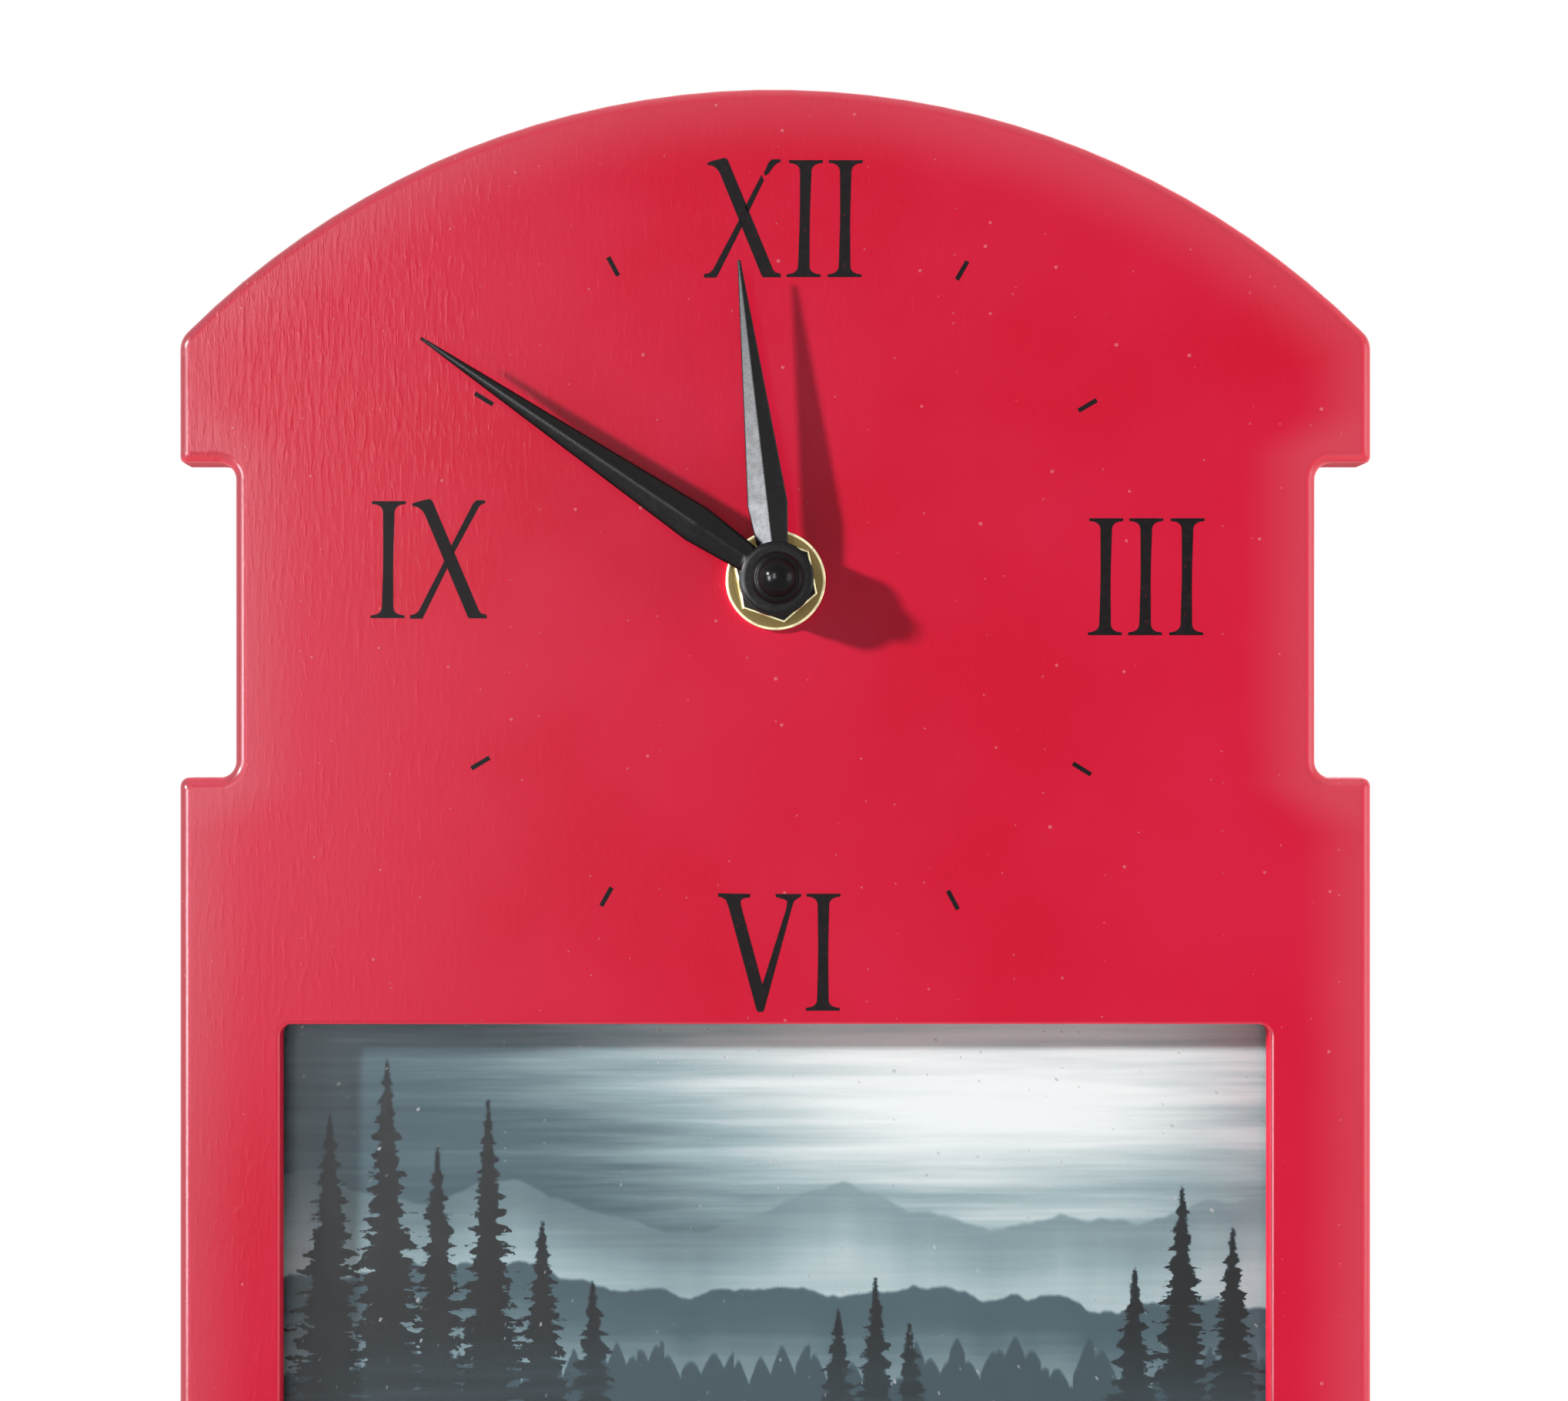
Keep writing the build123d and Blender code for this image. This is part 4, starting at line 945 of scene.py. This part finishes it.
@dataclass(frozen=True)
class BatterySleeve:
    """Plain printed sleeve with a copper band at the plus end and bare steel ends."""

    sleeve: Colour = tone(38, 40, 46)
    band: Colour = tone(196, 132, 74)
    steel: Colour = tone(190, 190, 186)
    middle: float = -0.75
    half_length: float = 25.25
    band_start: float = 12.0
    line: Span = (10.7, 11.3)

    def material(self) -> bpy.types.Material:
        """Build the finish."""
        mix = Recipe("battery_sleeve")
        across = mix.board[0]
        scratch = mix.grain(0.3, 2, 2, 4, 0.7)
        band = across.ramp(self.band_start - 0.1, self.band_start + 0.1)
        start, end = self.line
        line = across.ramp(start - 0.1, start + 0.1) * across.ramp(end + 0.1, end - 0.1)
        ends = abs(across - self.middle).ramp(self.half_length - 1.0, self.half_length - 0.8)
        colour = mix.layers(
            self.sleeve,
            (self.band, band.most(line * 0.7)),
            (self.steel, ends.most(scratch.ramp(0.78, 0.85) * 0.4)),
        )
        mix.relief(scratch, 0.01, 0.3)
        rough = scratch.ramp(0.3, 0.8, 0.26, 0.42)
        return mix.finish(base_color=colour, roughness=rough, metallic=ends.most(band * 0.8))


class Side(Enum):
    """Which way a thin piece stands out of the surface that it lies on."""

    FRONT = 1
    BACK = -1


def new_object(name: str, mesh: bpy.types.Mesh, finish: bpy.types.Material) -> bpy.types.Object:
    """Link a mesh to the scene as an object at the origin.

    Args:
        name: The piece's name.
        mesh: Its mesh, already in place.
        finish: Its material.

    Returns:
        The object.
    """
    made = bpy.data.objects.new(name, mesh)
    bpy.context.scene.collection.objects.link(made)
    mesh.materials.clear()
    mesh.materials.append(finish)
    return made


def raised_piece(
    name: str,
    outlines: Iterable[Outline],
    out: float,
    height: float,
    side: Side,
    finish: bpy.types.Material,
) -> bpy.types.Object:
    """Make flat shapes that stand a little out of a face of the board or of the case.

    Args:
        name: The piece's name.
        outlines: Closed outlines in across and up.
        out: Level of the face that carries them.
        height: How far they stand out of it.
        side: Whether they face the viewer or the wall.
        finish: Their material.

    Returns:
        The piece as one object.
    """
    shape = bmesh.new()
    levels = (out - side.value * height * SUNK_SHARE, out + side.value * height)
    for outline in outlines:
        low, high = ([shape.verts.new(SPACE.point(x, y, level)) for x, y in outline] for level in levels)
        shape.faces.new(high)
        shape.faces.new(reversed(low))
        for index, corner in enumerate(low):
            after = (index + 1) % len(low)
            shape.faces.new((corner, low[after], high[after], high[index]))
    bmesh.ops.triangulate(shape, faces=[f for f in shape.faces if len(f.verts) > 4])
    bmesh.ops.recalc_face_normals(shape, faces=shape.faces)
    mesh = bpy.data.meshes.new(name)
    shape.to_mesh(mesh)
    shape.free()
    return new_object(name, mesh, finish)


def curve_between(start: Spot, pull: Spot, end: Spot, steps: int = 6) -> Outline:
    """Return a bend.

    Args:
        start: Where it starts.
        pull: The spot that it leans towards.
        end: Where it ends.
        steps: How many straight pieces it has.

    Returns:
        The points along it, with both ends.
    """
    first, middle, last = Vector(start), Vector(pull), Vector(end)
    shares = [index / steps for index in range(steps + 1)]
    return [tuple(first.lerp(middle, s).lerp(middle.lerp(last, s), s)) for s in shares]


@dataclass(frozen=True)
class NumeralStyle:
    """The sizes of the dial's condensed serif numerals, in millimetres."""

    height: float = 17.3
    stem_half: float = 0.84
    waist_half: float = 0.74
    serif_half: float = 2.5
    serif_edge: float = 0.5
    bracket: float = 1.15

    def stem(self) -> list[Outline]:
        """Return the outline of an I about its middle line, standing on zero."""
        top, edge, bend = self.height, self.serif_edge, self.bracket
        quarter = [(self.serif_half, top - 0.08), (self.serif_half - 0.05, top - edge)]
        quarter += curve_between(
            (self.serif_half - 0.15, top - edge),
            (self.stem_half + 0.1, top - edge - 0.1),
            (self.stem_half, top - edge - bend),
        )
        quarter += [(self.waist_half, top * 0.58)]
        right = quarter + [(x, top - y) for x, y in reversed(quarter)]
        return [right + [(-x, y) for x, y in reversed(right)]]

    def cross(self, broken: bool = False) -> list[Outline]:
        """Return the outlines of an X that starts at zero.

        Args:
            broken: Whether the thin stroke has lost a piece near its upper end.

        Returns:
            The thick stroke and the parts of the thin one.
        """
        thick = [(0.3, 16.85), (1.1, 17.15), (2.75, 17.55), (3.1, 17.45), (3.35, 17.1)]
        thick += [(10.1, 1.2), (10.45, 0.75), (11.2, 0.62), (11.28, 0.05), (8.65, 0.05), (8.45, 0.3)]
        thick += curve_between((2.2, 15.2), (1.55, 16.5), (0.35, 16.5))
        head = [(9.75, 17.35), (11.0, 17.35), (11.02, 16.95), (10.55, 16.8), (10.1, 16.4)]
        upper = [(6.35, 9.45), (5.85, 10.3)] + ([(8.15, 14.85)] if broken else [])
        foot = [(5.62, 7.75), (2.05, 0.45), (1.8, 0.0), (0.02, 0.0), (0.0, 0.5), (0.75, 0.68)]
        foot += [(1.3, 1.15), (5.2, 8.75)]
        if broken:
            return [
                thick,
                upper + [(8.28, 15.1), (8.4, 14.75), (8.62, 14.3)],
                [(8.62, 15.35), (9.3, 16.9)] + head + [(9.35, 15.35), (8.95, 15.0), (8.72, 14.95)],
                foot,
            ]
        return [thick, upper + [(9.25, 16.9)] + head, foot]

    def vee(self) -> list[Outline]:
        """Return the outline of a V that starts at zero."""
        top, edge = self.height, self.serif_edge
        left = [(0.0, top), (4.7, top - 0.1), (4.7, top - edge - 0.1), (3.7, top - edge - 0.25)]
        left += [(3.3, top - 1.1), (3.35, top - 1.8)]
        right = [(10.0, top - 2.3), (10.15, top - 1.2), (9.7, top - edge - 0.4)]
        right += [(8.45, top - edge - 0.05), (8.42, top - 0.1), (12.2, top - 0.1)]
        right += [(12.15, top - edge), (11.5, top - edge - 0.35)]
        right += [(11.1, top - 1.2), (10.75, top - 2.3)]
        inner, apex = [(6.5, 3.9)], [(6.72, 0.1), (6.5, -0.12), (5.9, -0.12), (5.65, 0.12)]
        outer = [(1.5, top - 1.9), (1.15, top - 1.0), (0.5, top - edge - 0.1), (0.0, top - edge)]
        return [left + inner + right + apex + outer]


@dataclass(frozen=True)
class Letter:
    """One letter of a numeral: its outlines and where its zero stands on the board."""

    outlines: list[Outline]
    across: float
    lean: float = 0.012

    def placed(self, foot: float) -> list[Outline]:
        """Return the outlines in across and up, standing on the height foot."""
        return [[(self.across + x + y * self.lean, foot + y) for x, y in o] for o in self.outlines]


@dataclass
class Dial:
    """The printed dial: four numerals and eight short ticks round the shaft.

    Each tick is its angle from 12, clockwise in degrees, and its middle's distance from the dial's own
    centre.
    """

    style: NumeralStyle = NumeralStyle()
    ink_height: float = 0.03
    tick_length: float = 3.1
    tick_width: float = 0.66
    centre_across: float = 1.15
    centre_up: float = 187.2
    tick_places: tuple[Spot, ...] = (
        (29.7, 52.9),
        (59.6, 51.7),
        (121.8, 51.5),
        (151.8, 52.6),
        (209.5, 52.7),
        (239.4, 51.6),
        (301.7, 51.6),
        (331.8, 52.8),
    )

    def numerals(self) -> dict[str, tuple[float, list[Letter]]]:
        """Return the numerals.

        Returns:
            The height of each one's foot and its letters, by its name.
        """
        stem = self.style.stem()
        return {
            "numeral_12": (
                232.1,
                [Letter(self.style.cross(True), -10.5), Letter(stem, 4.1, 0.02), Letter(stem, 10.09)],
            ),
            "numeral_3": (179.6, [Letter(stem, 48.28), Letter(stem, 54.15), Letter(stem, 60.2)]),
            "numeral_6": (124.55, [Letter(self.style.vee(), -8.43, 0), Letter(stem, 6.92, 0.006)]),
            "numeral_9": (182.1, [Letter(stem, -56.9), Letter(self.style.cross(), -53.6, 0)]),
        }

    def tick_marks(self, finish: bpy.types.Material) -> bpy.types.Object:
        """Set the ticks round the dial with geometry nodes.

        Args:
            finish: The ink.

        Returns:
            The ticks as one plain mesh.
        """
        turns, spots = [], []
        for angle, radius in self.tick_places:
            turn = math.radians(angle)
            along = SPACE.direction(math.sin(turn), math.cos(turn))
            spots.append(SPACE.point(self.centre_across, self.centre_up) + along * radius * MM)
            turns.append(Matrix((along.cross(SPACE.out), along, SPACE.out)).transposed().to_euler())
        sizes = {
            "Tick length": self.tick_length * MM,
            "Tick width": self.tick_width * MM,
            "Ink height": self.ink_height * MM,
        }
        return ScatterTree("dial_ticks", sizes).build(spots, turns, finish)

    def build(self) -> list[bpy.types.Object]:
        """Make the numerals and the ticks on the board's face."""
        ink = DialInk().material()
        made = []
        for name, (foot, letters) in self.numerals().items():
            outlines = [outline for letter in letters for outline in letter.placed(foot)]
            made.append(raised_piece(name, outlines, 0, self.ink_height, Side.FRONT, ink))
        made.append(self.tick_marks(ink))
        for piece in made:
            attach(piece, "board")
        return made


@dataclass
class ScatterTree:
    """A geometry nodes tree that puts a small bar of named sizes at each point of a mesh."""

    name: str
    sizes: dict[str, float]

    def tree(self, finish: bpy.types.Material) -> bpy.types.NodeTree:
        """Build the tree.

        Args:
            finish: The material that it sets at its end.

        Returns:
            The tree, with one named input for each size.
        """
        tree = bpy.data.node_groups.new(self.name, "GeometryNodeTree")
        tree.interface.new_socket("Geometry", in_out="INPUT", socket_type="NodeSocketGeometry")
        for size, value in self.sizes.items():
            socket = tree.interface.new_socket(size, in_out="INPUT", socket_type="NodeSocketFloat")
            socket.default_value = value
        tree.interface.new_socket("Geometry", in_out="OUTPUT", socket_type="NodeSocketGeometry")
        source = tree.nodes.new("NodeGroupInput")
        target = tree.nodes.new("NodeGroupOutput")
        length, width, height = (source.outputs[size] for size in self.sizes)
        bar = tree.nodes.new("GeometryNodeMeshCube")
        size = tree.nodes.new("ShaderNodeCombineXYZ")
        turn = tree.nodes.new("GeometryNodeInputNamedAttribute")
        turn.data_type = "FLOAT_VECTOR"
        turn.inputs["Name"].default_value = "turn"
        scatter = tree.nodes.new("GeometryNodeInstanceOnPoints")
        real = tree.nodes.new("GeometryNodeRealizeInstances")
        coat = tree.nodes.new("GeometryNodeSetMaterial")
        coat.inputs["Material"].default_value = finish
        for start, end in (
            (width, size.inputs["X"]),
            (length, size.inputs["Y"]),
            (height, size.inputs["Z"]),
            (size.outputs[0], bar.inputs["Size"]),
            (source.outputs["Geometry"], scatter.inputs["Points"]),
            (bar.outputs["Mesh"], scatter.inputs["Instance"]),
            (turn.outputs["Attribute"], scatter.inputs["Rotation"]),
            (scatter.outputs["Instances"], real.inputs[0]),
            (real.outputs[0], coat.inputs["Geometry"]),
            (coat.outputs[0], target.inputs[0]),
        ):
            tree.links.new(start, end)
        return tree

    def build(
        self, spots: Sequence[Vector], turns: Sequence[Euler], finish: bpy.types.Material
    ) -> bpy.types.Object:
        """Run the tree on a set of points and keep the result as a plain mesh.

        Args:
            spots: Where the bars go, in the frame.
            turns: How each is turned.
            finish: Their material.

        Returns:
            The bars as one object.
        """
        seeds = bpy.data.meshes.new(self.name + "_seeds")
        seeds.from_pydata([tuple(spot) for spot in spots], [], [])
        layer = seeds.attributes.new("turn", "FLOAT_VECTOR", "POINT")
        for index, turn in enumerate(turns):
            layer.data[index].vector = tuple(turn)
        holder = new_object(self.name + "_holder", seeds, finish)
        modifier = holder.modifiers.new("scatter", "NODES")
        modifier.node_group = self.tree(finish)
        for item in modifier.node_group.interface.items_tree:
            if item.in_out == "INPUT" and item.name in self.sizes:
                modifier[item.identifier] = self.sizes[item.name]
        graph = bpy.context.evaluated_depsgraph_get()
        mesh = bpy.data.meshes.new_from_object(holder.evaluated_get(graph))
        mesh.name = self.name
        bpy.data.objects.remove(holder)
        return new_object(self.name, mesh, finish)


def dress(finish: Finish, *names: str) -> bpy.types.Material:
    """Give CAD nodes a finish in place of their plain one.

    Args:
        finish: The finish, of which one material is made.
        names: The nodes' names.

    Returns:
        That material.
    """
    material = finish.material()
    for name in names:
        node = frame["nodes"][name]
        if not node.material_slots:
            node.data.materials.append(material)
        for slot in node.material_slots:
            slot.material = material
        LOG.info("dressed %s in %s", name, material.name)
    return material


@dataclass
class PaintedBoard:
    """The front board and its paint."""

    paint: BoardPaint = BoardPaint()

    def build(self) -> list[bpy.types.Object]:
        """Dress the board."""
        dress(self.paint, "front_board")
        return []


@dataclass
class Hands:
    """Both hands, their cap nut and the brass nut under them."""

    hour: Enamel = Enamel("hour_enamel")
    minute: Enamel = Enamel("minute_enamel", edge=1.1, grit=0.003)
    cap: Enamel = Enamel(
        "cap_enamel",
        tone(8, 7, 8),
        tone(24, 22, 24),
        dull=0.2,
        shine=0.14,
        level=0.13,
        edge=0.3,
        flank=0.8,
    )
    nut: NutBrass = NutBrass()

    def build(self) -> list[bpy.types.Object]:
        """Dress the hands and the nuts."""
        dress(self.hour, "hour_hand")
        dress(self.minute, "minute_hand")
        dress(self.cap, "cap_nut")
        dress(self.nut, "shaft_nut")
        return []


@dataclass
class PictureWindow:
    """The glass, the print behind it and the hardboard that closes the back."""

    glass: WindowGlass = WindowGlass()
    picture: LakePicture = LakePicture()
    backing: Hardboard = Hardboard()

    def build(self) -> list[bpy.types.Object]:
        """Dress the window's layers."""
        dress(self.glass, "window_glass")
        dress(self.picture, "photo_print")
        dress(self.backing, "backing_board")
        return []


@dataclass
class Movement:
    """The quartz movement: black case with its marks, battery, knob and the train inside."""

    case: Moulding = Moulding("case_plastic", tone(30, 30, 32), tone(58, 58, 62), 0.42)
    natural: Moulding = Moulding("natural_plastic", tone(214, 208, 190), tone(232, 228, 214), 0.38, 0.015)
    rubber: Moulding = Moulding("rubber", tone(24, 24, 25), tone(44, 44, 46), 0.7, 0.06, 0.2)
    laminate: Moulding = Moulding("laminate", tone(146, 110, 58), tone(170, 134, 80))
    brass: TurnedMetal = TurnedMetal(
        "train_brass", tone(214, 178, 104), tone(158, 118, 60), 0.3, turned=True
    )
    copper: TurnedMetal = TurnedMetal("copper_wire", tone(206, 112, 70), tone(140, 66, 40), 0.3)
    steel: TurnedMetal = TurnedMetal("plated_steel", tone(206, 206, 204), tone(150, 150, 150), 0.28)
    core: TurnedMetal = TurnedMetal("core_steel", tone(128, 128, 132), tone(84, 84, 88), 0.4)
    sleeve: BatterySleeve = BatterySleeve()
    mark_height: float = 0.25
    mark_half: float = 1.6
    mark_width: float = 0.55
    mark_across: float = 21.0
    bay_drop: float = 8.0
    arrow_radii: Span = (8.2, 8.9)
    arrow_start: int = 20
    arrow_end: int = 70
    arrow_step: int = 5
    head_half: float = 1.2
    head_turn: int = 12

    def bar(self, across: float, wide: Span, high: Span) -> Outline:
        """Return a bar of a plus or a minus.

        Args:
            across: The mark's middle on the board.
            wide: The bar's left and right from that middle.
            high: Its foot and head from that middle.

        Returns:
            The bar's outline.
        """
        up = joint_spot(SHAFT_JOINT)[1] - self.bay_drop
        corners = ((wide[0], high[0]), (wide[1], high[0]), (wide[1], high[1]), (wide[0], high[1]))
        return [(across + x, up + y) for x, y in corners]

    def arrow(self, turn: int) -> list[Outline]:
        """Return one arrow round the knob.

        Args:
            turn: How far round it starts, in degrees.

        Returns:
            The outlines of its arc and its head.
        """
        knob = (joint_spot(SHAFT_JOINT)[0], joint_spot("motion_wheel_turn")[1])
        inner, outer = self.arrow_radii
        middle, tail, end = (inner + outer) / 2, self.arrow_start + turn, self.arrow_end + turn
        angles = range(tail, end + 1, self.arrow_step)
        arc = [polar(knob, inner, angle) for angle in angles]
        arc += [polar(knob, outer, angle) for angle in reversed(angles)]
        head = [polar(knob, middle - self.head_half, end), polar(knob, middle + self.head_half, end)]
        return [arc, head + [polar(knob, middle, end + self.head_turn)]]

    def marks(self) -> list[Outline]:
        """Return a plus and a minus over the battery's ends, and arrows round the knob."""
        long = (-self.mark_half, self.mark_half)
        thin = (-self.mark_width / 2, self.mark_width / 2)
        return [
            self.bar(self.mark_across, long, thin),
            self.bar(self.mark_across, thin, (long[0], thin[0])),
            self.bar(self.mark_across, thin, (thin[1], long[1])),
            self.bar(-self.mark_across, long, thin),
            *self.arrow(0),
            *self.arrow(180),
        ]

    def build(self) -> list[bpy.types.Object]:
        """Dress the movement and add its moulded marks."""
        case = dress(self.case, "movement_case", "movement_back_cover", "setting_knob")
        dress(self.natural, "motor_block", "train_plate", "hour_wheel")
        dress(self.rubber, "rubber_gasket")
        dress(self.laminate, "circuit_board")
        dress(self.brass, "minute_arbor", "motion_wheel")
        dress(self.copper, "motor_coil")
        dress(self.steel, "quartz_can", "battery_contact_plus", "battery_contact_minus")
        dress(self.core, "stator_core")
        dress(self.sleeve, "battery")
        cover = frame["nodes"]["movement_back_cover"].data
        level = min(SPACE.locate(vertex.co)[2] for vertex in cover.vertices)
        marks = raised_piece("case_marks", self.marks(), level, self.mark_height, Side.BACK, case)
        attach(marks, "board")
        return [marks]


@dataclass
class BackFastenings:
    """The turn buttons, the hinge and the easel strut."""

    plate: TurnedMetal = TurnedMetal("button_plate", tone(196, 184, 150), tone(146, 128, 90), 0.3)
    zinc: TurnedMetal = TurnedMetal("zinc_screws", tone(200, 200, 198), tone(136, 136, 138), 0.26)
    hinge: TurnedMetal = TurnedMetal("hinge_brass", tone(210, 172, 98), tone(150, 112, 56), 0.28)
    strut: StrutPaint = StrutPaint()

    def build(self) -> list[bpy.types.Object]:
        """Dress what shows on the back."""
        dress(self.plate, *(f"turn_button_{number}" for number in range(1, 5)))
        dress(self.zinc, "turn_button_screws", "hinge_screws_board", "hinge_screws_strut", "hinge_pin")
        dress(self.hinge, "hinge_leaf_board", "hinge_leaf_strut")
        dress(self.strut, "easel_strut")
        return []


@dataclass(frozen=True)
class Panel:
    """A soft lamp: the way to it from the dial, its distance, its two sizes and its power.

    A sheen lamp shows in shiny surfaces alone and casts no light of its own.
    """

    name: str
    way: Way
    distance: float
    width: float
    height: float
    power: float
    sheen: bool = False


@dataclass
class Studio:
    """White floor and surroundings, a small hard lamp from the upper left and soft lamps beside it.

    The camera's distance, the width that its picture covers and the spot in its middle are taken on the
    board's face. The clip is in metres.
    """

    view_distance: float = 520.0
    frame_width: float = 229.9
    centre_across: float = 1.24
    centre_up: float = 170.1
    shift_across: float = 0.06
    shift_up: float = 0.035
    sensor: float = 36.0
    clip: Span = (0.01, 50.0)
    key_distance: float = 1500.0
    key_power: float = 4.1
    key_spread: float = 4.0
    panels: tuple[Panel, ...] = (
        Panel("side_panel", (-0.75, -0.09, 0.66), 1000.0, 180.0, 380.0, 15.0, True),
        Panel("front_panel", (-0.315, 0.09, 0.945), 950.0, 200.0, 460.0, 6.5, True),
        Panel("right_panel", (0.94, -0.15, 0.28), 900.0, 500.0, 900.0, 4.6),
        Panel("rear_panel", (0.5, 1.0, -1.6), 1500.0, 700.0, 700.0, 3.0),
    )
    front_fill: float = 0.05
    around_fill: float = 1.0
    cool: Colour = (0.92, 0.95, 1.0)
    floor_size: float = 6.0
    floor_sides: int = 96
    floor_colour: Colour = (0.6, 0.6, 0.6)
    floor_glow: float = 0.42

    def camera(self) -> None:
        """Look square at the board, from the place that its depth shows."""
        data = bpy.data.cameras.new("camera")
        data.sensor_width = self.sensor
        data.lens = self.sensor * self.view_distance / self.frame_width
        data.shift_x, data.shift_y = self.shift_across, self.shift_up
        data.clip_start, data.clip_end = self.clip
        eye = bpy.data.objects.new("camera", data)
        across = self.centre_across - self.shift_across * self.frame_width
        up = self.centre_up - self.shift_up * self.frame_width
        turn = Matrix(SPACE.axes()).transposed().to_4x4()
        eye.matrix_world = Matrix.Translation(SPACE.point(across, up, self.view_distance)) @ turn
        bpy.context.scene.collection.objects.link(eye)
        bpy.context.scene.camera = eye

    def place_lamp(self, data: bpy.types.Light, way: Way, distance: float) -> bpy.types.Object:
        """Hang a lamp out from the dial, turned to it, with its height along the board's.

        Args:
            data: The lamp.
            way: Across, up and out of the way to it.
            distance: How far it hangs, in millimetres.

        Returns:
            The lamp in the scene.
        """
        away = SPACE.direction(*way).normalized()
        side = SPACE.up.cross(away).normalized()
        turn = Matrix((side, away.cross(side), away)).transposed().to_4x4()
        spot = SPACE.point(*joint_spot(SHAFT_JOINT)) + away * distance * MM
        lamp = bpy.data.objects.new(data.name, data)
        lamp.matrix_world = Matrix.Translation(spot) @ turn
        bpy.context.scene.collection.objects.link(lamp)
        return lamp

    def lamps(self) -> None:
        """Hang the hard lamp and the panels."""
        key = bpy.data.lights.new("key", "SUN")
        key.energy = self.key_power
        key.angle = math.radians(self.key_spread)
        self.place_lamp(key, KEY_WAY, self.key_distance)
        for panel in self.panels:
            data = bpy.data.lights.new(panel.name, "AREA")
            data.shape = "RECTANGLE"
            data.size, data.size_y = panel.width * MM, panel.height * MM
            data.energy = panel.power
            data.color = self.cool if panel.sheen else WHITE
            self.place_lamp(data, panel.way, panel.distance).visible_diffuse = not panel.sheen

    def surroundings(self) -> None:
        """Surround the clock with soft light, dimmest from the viewer's side, that looks white."""
        world = bpy.data.worlds.new("surroundings")
        bpy.context.scene.world = world
        mix = Recipe("surroundings", world)
        way = mix.node("ShaderNodeTexCoord", output="Generated")
        light = mix.along(way, SPACE.out).ramp(0.45, -0.1, self.front_fill, self.around_fill)
        mix.finish(color=WHITE, strength=light + mix.seen_directly() * (1 - light))

    def floor(self) -> None:
        """Lay a pale floor that shows white and keeps the clock's shadow."""
        mix = Recipe("floor")
        mix.finish(base_color=self.floor_colour, roughness=0.9, specular_ior_level=0.0)
        strength = mix.seen_directly() * self.floor_glow
        glow = mix.node("ShaderNodeEmission", {}, {"Color": WHITE, "Strength": strength})
        shown = Shade(mix, mix.shader.outputs[0])
        mix.put(mix.output.inputs["Surface"], mix.node("ShaderNodeAddShader", {}, {0: shown, 1: glow}))
        shape = bmesh.new()
        radius = self.floor_size / 2
        bmesh.ops.create_circle(shape, cap_ends=True, segments=self.floor_sides, radius=radius)
        mesh = bpy.data.meshes.new("floor")
        shape.to_mesh(mesh)
        shape.free()
        new_object("floor", mesh, mix.material)

    def build(self) -> list[bpy.types.Object]:
        """Set up the whole studio."""
        self.camera()
        self.lamps()
        self.surroundings()
        self.floor()
        bpy.context.scene.view_settings.view_transform = "Standard"
        return []


def main() -> None:
    """Build every sub-assembly, in order."""
    logging.basicConfig(level=logging.INFO, format="%(name)s: %(message)s")
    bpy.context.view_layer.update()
    for part in (
        Studio(),
        PaintedBoard(),
        Dial(),
        Hands(),
        PictureWindow(),
        Movement(),
        BackFastenings(),
    ):
        for piece in part.build():
            LOG.info("built %s with %d faces", piece.name, len(piece.data.polygons))


if __name__ == "__main__":
    main()
